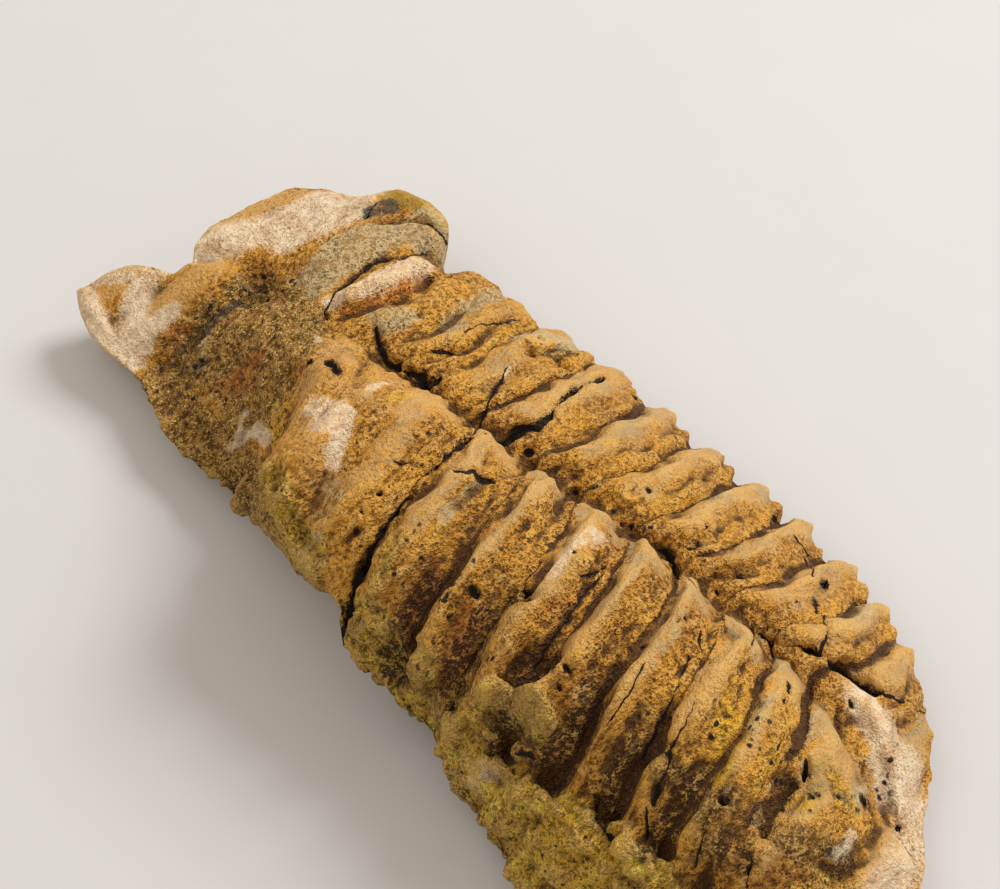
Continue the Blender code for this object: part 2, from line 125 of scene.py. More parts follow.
# Forms along lines: (points of the line, half width, height over the body).
FORMS = [
    ([(-33.6, 3.4), (-32.2, 1.8)], 2.3, 1.1),  # front lobe
    ([(-30.4, 6.6), (-30.2, 3.6), (-31.4, 1.0)], 0.9, -0.5),  # valley beside it
    ([(-27.6, 8.4), (-27.9, 5.2), (-29.2, 2.2)], 1.9, 0.6),  # smooth ridge
    ([(-25.9, 0.8), (-25.0, 3.8), (-23.9, 6.0), (-23.4, 8.4)], 1.3, -1.0),  # its dark foot
    ([(-30.4, 8.4), (-27.5, 9.9), (-24.0, 10.3)], 0.9, -0.8),  # notch
    ([(-29.4, 12.0), (-28.2, 15.5), (-26.8, 19.0)], 2.6, 0.8),  # cheek lobe
    ([(-24.2, 9.8), (-22.0, 5.0), (-19.0, 3.0)], 3.0, -1.3),  # gritty hollow
    ([(-23.2, 21.6), (-22.6, 23.6), (-20.4, 24.4), (-18.3, 23.8)], 1.3, 1.2),  # hooked rim
    ([(-17.3, 24.0), (-16.4, 21.8)], 0.9, -2.0),  # notch behind it
    ([(-21.3, 13.5), (-20.4, 18.0)], 2.4, 0.8),  # gritty swelling
    ([(-16.6, 12.4), (-16.5, 18.6)], 1.5, 0.9),  # crusted block
    ([(-17.9, 17.0), (-17.7, 13.6), (-17.2, 11.0), (-15.6, 8.6), (-13.8, 7.3)], 0.6, -0.4),
    ([(-14.9, 18.8), (-13.4, 16.6), (-13.6, 14.4)], 0.8, -0.6),  # step behind it
    ([(-12.2, 10.1), (-10.9, 9.2), (-9.0, 8.4), (-7.9, 8.4), (-6.1, 9.0), (-4.7, 9.2)], 0.7, -0.5),
    ([(-11.0, 4.2), (-9.2, 3.5)], 0.5, -0.3),  # lens-shaped hole
    ([(16.3, -8.5), (18.6, -7.5), (20.8, -8.1)], 0.9, 1.7),  # crust lump
    ([(15.6, -9.9), (19.0, -9.7), (22.8, -9.6)], 0.6, -0.6),  # slot under it
    ([(24.0, -11.5), (29.0, -12.0)], 2.2, 0.8),  # yellow slab
    ([(28.4, -8.7), (30.8, -9.2)], 1.4, 0.9),
    (BORDER, 0.8, -0.7),
    ([(26.4, -9.2), (27.8, -9.8)], 0.5, -0.8),
    ([(4.6, -9.4), (6.4, -9.8)], 1.0, 0.8),
]
# Hollows: (x, y, half length, half width, depth).
HOLLOWS = [(35.2, -0.2, 0.9, 2.6, 1.4), (32.0, 11.6, 1.1, 0.8, 1.2), (14.2, -2.6, 0.8, 0.7, 0.9),
           (-1.8, 19.3, 0.8, 0.7, 1.2), (-3.7, 17.8, 0.7, 0.8, 1.0)]

TUCK, TUCK_RIGHT = 1.5, 2.0  # how far the rounded walls draw in, and how much more on the right
UNDERCUT = 0.72  # how far the broken walls draw in, as a share of their height
CORE = ((-20.0, 9.5), (27.0, 3.5))  # the walls face away from this line
LUMPS = [(6.0, 0.6, 3), (2.6, 0.4, 8)]  # swellings of the rock: (size, height, seed)

# The ends of the back along U, how far the front and tail edges shape the rows beside them, and X along
# the left and the right edge for each U.
U_FRONT, U_TAIL = -33.0, 41.0
FRONT_REACH, TAIL_REACH = 16, 12
LEFT_RUN = [(-33, -36.1), (-26, -26.5), (-14, -11.5), (0, 3.3), (30, 33.3), (36, 38), (41, 40.5)]
RIGHT_RUN = [(-33, -29.8), (-26, -25.2), (-14, -15.4), (-4, -5.4), (12, 10.8), (24, 23.5), (32, 31.9),
             (41, 39.8)]

# ---------------------------------------------------------------- finer forms of the surface

FINE_FORMS = [
    ([(-35.6, 1.6), (-33.6, 0.6), (-31.0, 0.0)], 0.5, 0.35),  # rim of the front lobe
    ([(-26.2, 4.2), (-25.2, 6.4), (-24.2, 8.6)], 0.7, -0.4),
    ([(-22.6, 15.2), (-22.4, 17.5), (-22.6, 20.2)], 0.35, -0.5),  # under the cheek lobe
    ([(-21.4, 19.7), (-20.5, 21.9), (-19.5, 22.9), (-18.5, 23.3), (-17.7, 24.0)], 0.35, -0.4),
    ([(-16.5, 11.5), (-15.9, 13.5), (-15.6, 16.8), (-16.4, 20.4)], 0.75, 0.3),  # white crust
    ([(-15.6, 10.2), (-14.7, 12.1), (-14.3, 15.0), (-15.0, 18.6)], 0.6, -0.7),  # hollow behind it
    ([(-10.9, 5.8), (-10.0, 5.2)], 0.9, 0.3),
    ([(-13.4, 12.0), (-12.3, 11.6), (-12.0, 13.0)], 1.0, 0.45),  # grey-green lump
    ([(-6.6, 13.4), (-6.9, 16.9), (-7.7, 21.5)], 0.8, -0.25),
    ([(5.5, 2.6), (5.6, 1.0), (5.7, -1.4)], 0.35, -0.3),  # lost shell, ring 1
    ([(10.5, 1.6), (10.4, -0.4), (10.3, -3.2)], 0.3, -0.2),
    ([(34.3, 0.9), (34.4, -0.5), (34.8, -2.0), (35.4, -3.3)], 0.45, -1.0),
    ([(33.8, -0.4), (33.9, -1.7), (34.7, -3.6)], 0.25, 0.3),  # recess in the tail
    ([(33.7, 10.2), (35.1, 9.9), (36.9, 8.9)], 0.8, 0.25),
    ([(38.9, -0.4), (39.2, 0.8), (38.9, 1.8)], 0.35, 0.35),
    ([(15.9, -8.8), (17.4, -7.7), (20.4, -7.9)], 0.7, 0.6),
    ([(16.6, -8.7), (19.8, -8.4)], 0.3, -0.6),
    ([(15.6, -9.7), (17.4, -9.5), (20.9, -9.2), (21.8, -8.7)], 0.4, -0.5),
]
WANDER = [(3.2, 0.30, 51), (1.2, 0.16, 52)]  # drift of the crests: (size, reach, seed)
BAND_EDGES = [(1.6, 0.10, 81), (0.6, 0.09, 82)]  # raggedness of the pale bands, the same way
SHAKE, SHAKE_SIZE, SHAKE_SEEDS = 0.11, 0.45, (61, 62)  # raggedness of the cracks and pits
BUMP_REACH = 0.2  # height of one step of the finest grain, which is in the finish alone
# Cracks and slits: (points of the line, half width, depth).
SLITS = [
    ([(3.5, -9.6), (2.9, -8.2), (2.6, -6.1)], 0.17, 1.1),  # the main crack
    ([(2.6, -6.1), (2.2, -4.1), (2.1, -1.4)], 0.17, 0.9),
    ([(2.1, -1.4), (2.1, 1.4), (1.8, 3.3), (1.2, 5.6)], 0.09, 0.5),
    ([(1.2, 5.6), (1.3, 7.1), (1.2, 7.8), (1.5, 8.8), (1.7, 9.9)], 0.10, 0.5),
    ([(1.7, 9.9), (1.9, 10.9), (2.6, 11.5), (2.5, 12.9), (2.1, 14.1)], 0.17, 0.8),
    ([(2.1, 14.1), (1.5, 17.0), (1.0, 20.6)], 0.24, 1.2),
    ([(-3.0, 14.4), (-2.1, 12.2), (-1.5, 10.6), (-0.8, 9.0), (0.7, 6.8)], 0.07, 0.3),
    ([(3.6, 1.8), (4.2, 2.1), (4.5, 2.6), (5.2, 2.7), (5.7, 3.2)], 0.10, 0.4),  # ledge on ring 1
    ([(0.0, -0.3), (0.7, 0.3)], 0.05, 0.2),
    ([(17.2, -5.2), (17.0, -1.9), (16.6, 0.8), (16.3, 2.6)], 0.03, 0.3),
    ([(15.6, 0.9), (16.0, 1.9), (16.1, 3.0)], 0.05, 0.3),
    ([(24.1, -5.8), (23.9, -3.9), (23.4, -1.7)], 0.04, 0.3),
    ([(26.3, -5.0), (26.1, -3.7), (25.8, -1.6), (24.8, 1.3)], 0.05, 0.3),
    ([(28.9, -6.8), (28.4, -4.8)], 0.06, 0.5),
    ([(28.4, -4.8), (27.8, -2.6), (27.5, -1.2)], 0.035, 0.3),
    ([(28.9, -7.5), (29.3, -7.8)], 0.09, 0.5),
    ([(19.0, 7.8), (20.4, 7.3), (21.6, 7.5)], 0.06, 0.3),  # ends of the rings
    ([(21.8, 8.7), (22.9, 7.8), (23.8, 8.0), (24.7, 8.6)], 0.08, 0.4),
    ([(24.8, 8.7), (26.0, 6.8), (26.6, 5.8)], 0.06, 0.3),
    ([(24.1, 3.6), (24.5, 2.8), (24.9, 2.6)], 0.06, 0.2),
    ([(17.3, 10.6), (17.8, 10.8), (17.6, 11.6)], 0.05, 0.2),
    ([(22.5, 18.4), (24.5, 16.0)], 0.05, 0.2),
    ([(26.0, 14.5), (26.7, 13.4)], 0.05, 0.2),
    ([(27.2, 13.6), (28.6, 11.9), (29.1, 10.5)], 0.09, 0.4),
    ([(20.8, 18.8), (22.1, 18.9)], 0.09, 0.3),
    ([(25.4, 8.7), (27.1, 9.1), (28.6, 10.1)], 0.09, 0.5),  # crack in the tail
    ([(28.6, 10.1), (29.7, 10.7), (31.0, 11.3)], 0.17, 0.8),
    ([(31.0, 11.3), (32.0, 11.7), (32.9, 11.9)], 0.24, 1.1),
    ([(32.9, 11.9), (33.6, 12.3), (34.1, 13.2), (34.6, 13.8)], 0.10, 0.5),
    ([(35.0, 13.7), (35.4, 15.1)], 0.07, 0.3),
    ([(30.0, 5.7), (30.5, 5.0)], 0.07, 0.5),
    ([(30.8, 4.2), (31.0, 3.8)], 0.06, 0.4),
    ([(35.8, -5.1), (36.1, -5.8)], 0.09, 0.5),
    ([(34.3, 2.3), (34.6, 1.9), (34.7, 1.6)], 0.12, 0.8),
    ([(32.4, -5.9), (32.8, -6.9)], 0.08, 0.5),
    ([(25.4, -8.3), (26.0, -9.0), (27.6, -9.6)], 0.07, 0.6),
    ([(19.3, -9.1), (20.4, -8.9)], 0.06, 0.5),
    ([(16.0, -7.4), (17.1, -6.7), (18.2, -6.6)], 0.12, 0.7),
    ([(-22.6, 15.4), (-22.4, 17.5), (-22.6, 19.1), (-22.7, 21.1)], 0.05, 0.2),  # cheek
    ([(-21.4, 19.7), (-20.5, 21.9), (-19.5, 22.9), (-18.5, 23.3), (-17.7, 24.2)], 0.07, 0.4),
    ([(-17.0, 9.7), (-17.7, 11.5), (-17.7, 12.9), (-18.0, 14.7), (-18.1, 16.6)], 0.06, 0.35),
    ([(-18.1, 16.6), (-16.9, 18.0), (-17.4, 21.0)], 0.04, 0.2),
    ([(-11.1, 4.35), (-10.5, 4.2), (-9.7, 3.8)], 0.09, 0.4),  # lens-shaped hole
    ([(-12.5, 10.7), (-11.6, 9.9), (-9.9, 9.3), (-8.5, 9.3), (-7.1, 9.7), (-6.2, 9.3)], 0.09, 0.6),
    ([(-8.0, 11.9), (-7.6, 12.4), (-7.2, 12.9)], 0.12, 0.4),
    ([(-7.3, 12.9), (-7.9, 15.7), (-8.0, 18.7), (-8.2, 21.5)], 0.04, 0.25),
    ([(-11.9, 21.2), (-11.4, 21.7)], 0.12, 0.4),
    ([(-15.2, 20.5), (-14.3, 21.6), (-13.6, 22.8), (-12.8, 23.6)], 0.06, 0.25),
    ([(-14.4, 8.2), (-14.0, 7.6)], 0.07, 0.3),
    ([(18.9, 7.8), (17.9, 8.8), (16.9, 9.5), (15.9, 9.3)], 0.07, 0.3),
]
# Pits: (x, y, radius, depth).
PITS = [(0.8, -2.9, 0.28, 0.5), (0.7, -4.5, 0.22, 0.3), (1.0, -5.4, 0.25, 0.3), (1.15, 5.8, 0.34, 0.8),
        (3.4, 9.7, 0.30, 0.5), (8.2, 9.3, 0.24, 0.5), (12.5, 9.2, 0.26, 0.6), (13.3, 9.5, 0.18, 0.3),
        (14.0, 6.1, 0.16, 0.3), (12.1, 12.4, 0.16, 0.3), (16.9, 9.4, 0.30, 0.6), (9.3, 5.5, 0.14, 0.2),
        (11.1, -4.3, 0.26, 0.4), (14.3, 1.8, 0.16, 0.3), (13.3, -1.8, 0.42, 0.9), (14.3, -2.6, 0.30, 0.7),
        (12.7, -2.0, 0.24, 0.4), (19.6, -4.9, 0.30, 0.6), (19.8, -5.9, 0.26, 0.6), (22.9, 3.3, 0.20, 0.4),
        (22.8, 2.7, 0.14, 0.3), (21.9, -0.1, 0.18, 0.3), (15.0, 18.7, 0.24, 0.6), (17.8, 20.3, 0.24, 0.6),
        (26.5, 19.7, 0.26, 0.6), (27.0, 18.0, 0.28, 0.6), (25.3, 16.6, 0.24, 0.5), (21.5, 11.3, 0.26, 0.5),
        (17.2, 12.9, 0.22, 0.4), (25.6, 12.6, 0.14, 0.3), (25.4, 11.6, 0.12, 0.2), (23.2, 15.0, 0.10, 0.2),
        (12.3, 12.4, 0.18, 0.3), (8.7, 22.3, 0.24, 0.4), (21.1, 9.3, 0.28, 0.6), (25.4, 9.4, 0.30, 0.6),
        (34.6, 1.9, 0.24, 1.0), (35.3, -2.9, 0.30, 0.7), (32.4, -4.0, 0.22, 0.5), (37.8, 5.0, 0.28, 0.6),
        (35.9, 1.0, 0.20, 0.4), (40.0, 5.9, 0.24, 0.4), (32.8, 9.5, 0.26, 0.5), (-16.7, 9.7, 0.30, 0.7),
        (-12.7, 3.9, 0.18, 0.4), (-5.8, 10.0, 0.32, 0.6), (-24.9, 10.9, 0.24, 0.4), (-22.9, 9.4, 0.20, 0.3),
        (-19.8, 8.6, 0.18, 0.3), (-4.4, 19.6, 0.30, 0.6), (-1.8, 19.3, 0.36, 0.8), (-3.7, 17.8, 0.34, 0.7),
        (-2.4, 21.6, 0.30, 0.5), (2.9, 22.3, 0.30, 0.5), (-11.5, 21.2, 0.22, 0.4)]

# Coloured patches: (points of the line, half width, strength).
PATCHES = {
    "cream": [
        ([(-35.6, 1.3), (-33.6, 0.4), (-31.0, -0.5), (-28.4, -0.3)], 1.4, 0.95),
        ([(-34.8, 3.4), (-32.6, 5.4), (-30.9, 7.4)], 1.3, 0.75),
        ([(-31.4, 4.4), (-30.6, 2.4), (-29.4, 1.2)], 1.3, 1.0),
        ([(-27.8, 4.0), (-28.6, 2.1), (-28.0, 1.2)], 0.8, 0.9),
        ([(-30.3, 9.7), (-28.6, 12.0), (-26.7, 14.6), (-26.1, 19.4), (-24.8, 22.0)], 2.0, 0.9),
        ([(-25.2, 13.8), (-24.2, 17.0), (-23.6, 20.5)], 1.5, 0.9),
        ([(-17.3, 10.8), (-16.1, 12.4), (-15.9, 15.3), (-16.1, 19.7)], 0.9, 0.85),
        ([(-14.7, 6.7), (-14.2, 6.4)], 0.35, 0.8), ([(-6.1, 3.4), (-5.9, 4.8)], 0.5, 0.7),
        ([(-8.1, 0.2), (-6.6, 0.0), (-6.1, -1.0)], 1.3, 0.75),
        ([(-6.4, 0.9), (-5.2, 0.5), (-4.4, -1.3), (-3.6, -2.8)], 0.8, 0.8),
        ([(-15.6, -1.7), (-15.1, -0.9), (-14.2, -0.4), (-12.5, -0.9)], 0.5, 1.0),
        ([(-16.1, 0.2), (-15.6, -1.2)], 0.35, 0.8),
        ([(14.2, -0.3), (13.7, 2.0), (14.1, 4.4)], 0.8, 0.7), ([(14.1, 0.2), (13.9, 1.0)], 0.4, 1.0),
        ([(-2.5, 13.6), (-2.9, 14.6)], 0.17, 0.9),
        ([(33.2, 10.3), (35.1, 9.9), (36.9, 8.9), (38.4, 7.4)], 1.5, 0.95),
        ([(38.8, -0.4), (39.2, 0.8), (38.9, 1.9)], 0.38, 1.0),
        ([(37.6, 9.8), (39.4, 8.6), (41.0, 6.8), (42.0, 4.6), (42.6, 1.0)], 1.7, 0.75),
        ([(16.9, -10.9), (18.6, -10.6)], 0.5, 0.6), ([(22.0, -5.6), (22.1, -5.5)], 0.17, 1.0),
        ([(33.8, -0.8), (33.9, -1.8), (34.7, -3.5)], 0.12, 0.75),
    ],
    "grey": [
        ([(-19.4, 20.8), (-18.7, 22.5), (-18.1, 20.9)], 1.2, 1.0),
        ([(-19.6, 12.0), (-20.3, 16.0), (-19.7, 20.5), (-18.3, 22.9)], 2.2, 0.9),
        ([(-24.5, 4.7), (-23.5, 3.0), (-22.2, 1.7)], 0.3, 0.7),
        ([(-13.4, 12.0), (-12.3, 11.4), (-12.0, 13.0)], 1.3, 0.8),
        ([(-8.9, 14.1), (-10.2, 18.4), (-11.1, 22.4)], 1.0, 0.8),
        ([(5.4, 2.7), (5.6, 1.0), (5.7, -0.5), (5.8, -1.8)], 0.4, 0.75),
        ([(31.3, 8.6), (33.2, 4.6), (34.3, 1.1)], 0.4, 0.5),
        ([(30.2, 4.0), (30.5, 1.7), (30.9, 0.5)], 0.4, 0.8),
        ([(35.7, 8.6), (36.6, 7.7), (37.2, 6.4), (37.6, 4.4)], 0.6, 0.8),
        ([(-5.4, 19.0), (-4.0, 21.5), (-3.4, 24.0)], 1.3, 0.8),
        ([(15.2, 17.4), (15.0, 14.5)], 0.8, 0.6), ([(28.0, 17.6), (28.2, 14.5)], 0.9, 0.6),
        ([(-2.0, -4.0), (-1.2, -8.0)], 1.0, 0.5),
    ],
    "pocked": [
        ([(31.2, 0.8), (32.9, -0.6)], 1.5, 1.0), ([(35.4, -0.4), (36.6, 2.0)], 1.0, 0.7),
        ([(38.0, 4.0), (38.2, 6.0), (37.4, 8.4)], 0.8, 0.8), ([(28.6, 1.0), (29.6, -2.6)], 0.9, 0.7),
        ([(32.6, 2.2), (34.4, 1.6)], 0.9, 0.8), ([(5.4, -3.4), (6.4, -6.6)], 0.8, 0.9),
        ([(9.4, -3.6), (10.6, -7.4)], 0.9, 1.0), ([(13.8, -4.0), (15.2, -6.6)], 0.9, 0.8),
        ([(18.8, -4.4), (19.6, -6.6)], 0.8, 0.8), ([(-23.6, 1.6), (-21.6, 0.4)], 1.2, 0.8),
        ([(-24.4, 8.6), (-22.0, 10.4)], 1.0, 0.8), ([(-4.6, 17.2), (-2.6, 20.6)], 0.8, 0.7),
        ([(9.9, 10.0), (13.4, 11.4)], 1.2, 0.5),
    ],
    "soot": [
        ([(-22.5, 20.3), (-21.9, 22.2)], 0.75, 1.0),
        ([(-24.7, 3.7), (-24.9, 5.1), (-24.5, 6.4), (-24.1, 8.1)], 0.5, 0.9),
        ([(-24.2, 1.3), (-22.4, 2.0)], 0.9, 0.5), ([(-25.0, 1.2), (-22.6, -1.4)], 0.8, 0.4),
        ([(-25.6, 8.6), (-24.2, 10.6)], 0.7, 0.4), ([(37.3, 3.2), (36.4, 2.4)], 0.6, 0.5),
        ([(33.0, -4.8), (34.2, -2.4)], 0.7, 0.6),
    ],
    # painted shade: dark brown in the recesses, under the crust lump and in the grooves at the lower left
    # of the tail
    "shade_brown": [
        ([(28.5, -5.5), (30.6, -5.0), (32.6, -5.6), (34.9, -5.2)], 1.4, 0.95),
        ([(36.3, -2.4), (37.8, -1.4), (39.6, 0.3)], 1.2, 0.95),
        ([(34.4, 0.8), (34.5, -0.5), (34.8, -2.0), (35.3, -3.2)], 0.6, 1.0),
        ([(31.2, -3.4), (33.0, -3.2)], 1.0, 0.7), ([(12.9, -2.2), (14.4, -3.4)], 0.6, 0.8),
        ([(17.0, -9.2), (20.2, -9.0), (21.4, -8.6)], 0.5, 0.8),
        ([(-25.4, 1.6), (-25.5, 3.7), (-25.4, 6.4)], 0.5, 0.8),
        ([(-24.4, 9.4), (-24.2, 11.2)], 0.5, 0.6),
        ([(-24.2, 1.9), (-22.4, 1.0), (-22.7, -0.9)], 0.5, 0.8),
        ([(-27.1, 2.2), (-26.6, 1.2)], 0.4, 0.6),
        ([(-11.3, 4.4), (-10.5, 4.2), (-9.4, 3.7)], 0.28, 1.0),
        ([(-4.4, 18.2), (-2.8, 19.2), (-2.2, 21.4)], 0.4, 0.9),
        ([(-7.0, 22.8), (-5.8, 20.4)], 0.35, 0.7),
        ([(30.4, -4.4), (31.8, -4.4), (33.4, -4.6)], 1.2, 0.8),
    ],
    "rust": [
        ([(-18.9, 2.2), (-17.8, 3.3)], 1.0, 0.8), ([(-19.4, 1.3), (-17.0, 2.0)], 0.8, 0.5),
        ([(-27.0, 2.9), (-26.0, 4.2)], 0.5, 0.5),
        ([(-15.4, 10.3), (-14.6, 14.0), (-15.1, 18.7)], 0.7, 0.7),
        ([(-28.3, 10.7), (-27.0, 11.9), (-25.6, 12.2)], 0.5, 0.6),
        ([(7.3, -4.2), (7.5, -7.0)], 0.9, 0.7), ([(11.9, -5.0), (12.0, -8.6)], 0.9, 0.7),
    ],
    "tan": [
        ([(-34.6, 1.6), (-33.3, 2.2), (-32.8, 3.2)], 0.75, 0.9),
        ([(-31.2, -0.1), (-30.2, -0.6)], 0.6, 0.7),
        ([(-30.6, 12.0), (-29.9, 14.5), (-29.5, 17.2), (-28.2, 19.2)], 1.1, 1.0),
        ([(-29.6, 3.0), (-28.2, 5.2), (-27.9, 8.4)], 1.5, 1.0),
        ([(-11.4, 5.8), (-10.0, 5.2)], 1.2, 0.9), ([(28.8, -9.8), (30.3, -9.3)], 1.1, 1.0),
        ([(-10.8, 2.0), (-12.6, 7.0)], 1.6, 0.7), ([(-8.0, 3.6), (-3.4, 4.6)], 2.6, 0.6),
        ([(-9.0, -2.0), (-3.4, -3.8)], 1.8, 0.5),
    ],
    "yellow": [
        ([(24.6, -11.2), (27.4, -10.4), (27.4, -12.0)], 1.7, 1.0),
        ([(28.5, -12.4), (32.0, -12.4)], 1.4, 0.6), ([(-27.4, 7.8), (-27.0, 4.6)], 0.8, 0.4),
        ([(-6.7, 13.4), (-6.6, 16.9), (-7.3, 21.5)], 0.9, 0.5),
        ([(-12.6, 0.8), (-10.6, -1.8)], 0.9, 0.6), ([(-4.6, 3.6), (-4.2, 5.0)], 1.0, 0.6),
        ([(29.1, 0.3), (30.0, -1.4), (31.2, -3.3)], 0.9, 0.9),
        ([(32.0, 2.6), (33.2, 0.2), (33.0, -2.0)], 0.9, 0.5), ([(35.0, 0.1), (35.9, 0.2)], 0.7, 0.7),
        ([(36.6, 3.4), (37.6, 2.8), (38.2, 3.3)], 1.0, 0.5), ([(6.4, 11.5), (6.9, 14.5)], 1.0, 0.4),
        ([(-21.8, 23.6), (-20.2, 24.2), (-18.6, 24.2)], 0.5, 0.4),
    ],
    "moss": [
        ([(-22.6, 22.4), (-22.2, 23.4), (-20.6, 24.4), (-18.4, 24.6), (-17.6, 24.0)], 1.2, 0.9),
        ([(29.8, 1.8), (30.8, -1.6), (31.6, -3.4)], 0.8, 0.55),
        ([(34.8, 3.4), (35.6, 1.8), (36.4, 0.2)], 0.8, 0.5), ([(6.0, -1.0), (7.6, -4.0)], 0.8, 0.4),
    ],
    "olive": [
        ([(15.9, -8.8), (17.4, -7.7), (20.4, -7.9)], 0.9, 1.0),
        ([(-20.0, -2.2), (-14.0, -3.0), (-10.0, -5.4), (-5.0, -7.2), (-1.0, -8.4)], 1.6, 0.9),
        ([(3.6, -9.0), (8.0, -9.4), (13.0, -9.0)], 1.3, 1.0), ([(4.4, -4.8), (5.0, -7.4)], 0.7, 0.7),
        ([(36.0, 3.4), (37.4, 2.8)], 0.8, 0.5), ([(40.0, -2.0), (39.0, -6.0)], 2.0, 0.5),
    ],
    "grit": [
        ([(-24.2, 4.0), (-22.0, 3.4), (-17.5, 2.4), (-15.4, 0.9)], 3.0, 1.0),
        ([(-23.8, 8.8), (-20.6, 8.8), (-17.8, 7.6), (-15.8, 5.0)], 2.6, 1.0),
        ([(-25.2, 0.2), (-20.0, -2.0), (-14.0, -3.2), (-10.0, -5.4)], 2.0, 0.9),
        ([(-22.0, 11.2), (-21.0, 12.6)], 1.2, 0.5), ([(-27.4, 1.8), (-25.6, -1.0)], 1.0, 0.4),
    ],
}


def srgb(red, green, blue):
    """Opaque linear colour of 0 to 255 display values."""
    values = (red / 255, green / 255, blue / 255)
    return (*(v / 12.92 if v <= 0.04045 else ((v + 0.055) / 1.055) ** 2.4 for v in values), 1.0)


def glide(points, t):
    """Smooth curve through (t, value) points, read at t and level past its ends."""
    x, y = np.array(points, float).T
    slope = np.gradient(y, x)
    t = np.clip(t, x[0], x[-1])
    i = np.clip(np.searchsorted(x, t) - 1, 0, len(x) - 2)
    h = x[i + 1] - x[i]
    u = (t - x[i]) / h
    return (y[i] * (1 + 2 * u) * (1 - u) ** 2 + slope[i] * h * u * (1 - u) ** 2
            + y[i + 1] * u ** 2 * (3 - 2 * u) + slope[i + 1] * h * u ** 2 * (u - 1))


def ease(start, end, t):
    """0 at start, 1 at end, with level ends."""
    t = np.clip((t - start) / (end - start), 0, 1)
    return t * t * (3 - 2 * t)


def span(start, on, off, end, t):
    """0 before start, 1 from on to off and 0 after end, with soft ends."""
    return ease(start, on, t) * ease(end, off, t)


def off_segment(a, b, x, y):
    """The way in plan from the nearest point of the segment a to b."""
    dx, dy = b[0] - a[0], b[1] - a[1]
    t = np.clip(((x - a[0]) * dx + (y - a[1]) * dy) / (dx * dx + dy * dy), 0, 1)
    return x - a[0] - t * dx, y - a[1] - t * dy


def near(line, x, y):
    """Distance in plan from a line through points."""
    return np.min([np.hypot(*off_segment(a, b, x, y)) for a, b in zip(line, line[1:])], axis=0)


STIR = (73856093, 19349663, 83492791, 2654435, 1274126177)  # large odd numbers that mix cells well


def noise(p, size, seed):
    """Smooth lattice noise from -1 to 1 at points p."""
    q = p / size + seed
    cell = np.floor(q).astype(np.int64)
    f = q - cell
    f = f * f * (3 - 2 * f)
    total = 0
    for corner in np.ndindex(2, 2, 2):
        c = cell + corner
        h = (c[..., 0] * STIR[0]) ^ (c[..., 1] * STIR[1]) ^ (c[..., 2] * STIR[2]) ^ (seed * STIR[3])
        h = ((h ^ (h >> 13)) * STIR[4]) & 0x7FFFFFFF
        value = ((h ^ (h >> 16)) & 0xFFFF) / 32767.5 - 1
        total = total + value * np.prod(np.where(corner, f, 1 - f), axis=-1)
    return total


def plan_noise(x, y, size, seed):
    """Smooth noise from -1 to 1 that is the same at any height."""
    return noise(np.stack([x, y, np.zeros(np.shape(x))], -1), size, seed)


def phase(u):
    """How far u is between two joints, 0 to 1."""
    joints = np.array(JOINTS)
    k = np.clip(np.searchsorted(joints, u) - 1, 0, len(joints) - 2)
    return np.clip((u - joints[k]) / (joints[k + 1] - joints[k]), 0, 1)


def plan(u, w, tips=1.0):
    """Point of the back seen from above: u along the body, w from 0 at the left edge to 1."""
    at_front = (1 - ease(U_FRONT, U_FRONT + FRONT_REACH, u))[..., None]
    at_tail = ease(U_TAIL - TAIL_REACH, U_TAIL, u)[..., None]
    front_y = FRONT[0][0] + (FRONT[-1][0] - FRONT[0][0]) * w
    tail_y = TAIL[0][0] + (TAIL[-1][0] - TAIL[0][0]) * w
    left_x, right_x = glide(LEFT_RUN, u), glide(RIGHT_RUN, u)
    front = np.stack([glide(FRONT, front_y), front_y], -1)
    tail = np.stack([glide(TAIL, tail_y), tail_y], -1)
    left = np.stack([left_x, glide(LEFT, left_x)], -1)
    tip = glide(RIB_TIP, phase(u)) * glide(TIP_REACH, u) * tips
    right = np.stack([right_x, glide(RIGHT, right_x) + tip], -1)
    share = w[..., None]
    front_chord = (1 - share) * LEFT[0] + share * RIGHT[0]
    tail_chord = (1 - share) * LEFT[-1] + share * RIGHT[-1]
    p = (1 - share) * left + share * right + at_front * (front - front_chord)
    p += at_tail * (tail - tail_chord)
    straight = (1 - w) * left_x + w * right_x
    edge = 0.04 + 0.26 * ease(31, 37, u)
    leaning = span(U_FRONT + 8, -14, 34, U_TAIL, u) * span(0, edge, 1 - edge, 1, w)
    p[..., 0] += (u + glide(LEAN, p[..., 1]) - straight) * leaning
    return p


def wandering(x, y, u):
    """U as the worn stone has it: joints and crests that aren't quite straight."""
    return u + sum(reach * plan_noise(x, y, size, seed) for size, reach, seed in WANDER)


def shaken(x, y):
    """The place, moved a little here and there, so that cracks and pits have ragged edges."""
    dx, dy = (SHAKE * plan_noise(x, y, SHAKE_SIZE, seed) for seed in SHAKE_SEEDS)
    return x + dx, y + dy


def finger_cut(y, u):
    """How far the axis draws in at the joints on its right, so that each ring ends round."""
    off_crest = np.clip((phase(u) - FINGER_MIDDLE) / FINGER_REACH, -1, 1) ** 2
    return FINGER_CUT * off_crest * ease(2, 6.5, y) * span(-4, 0, 33, 37, u)


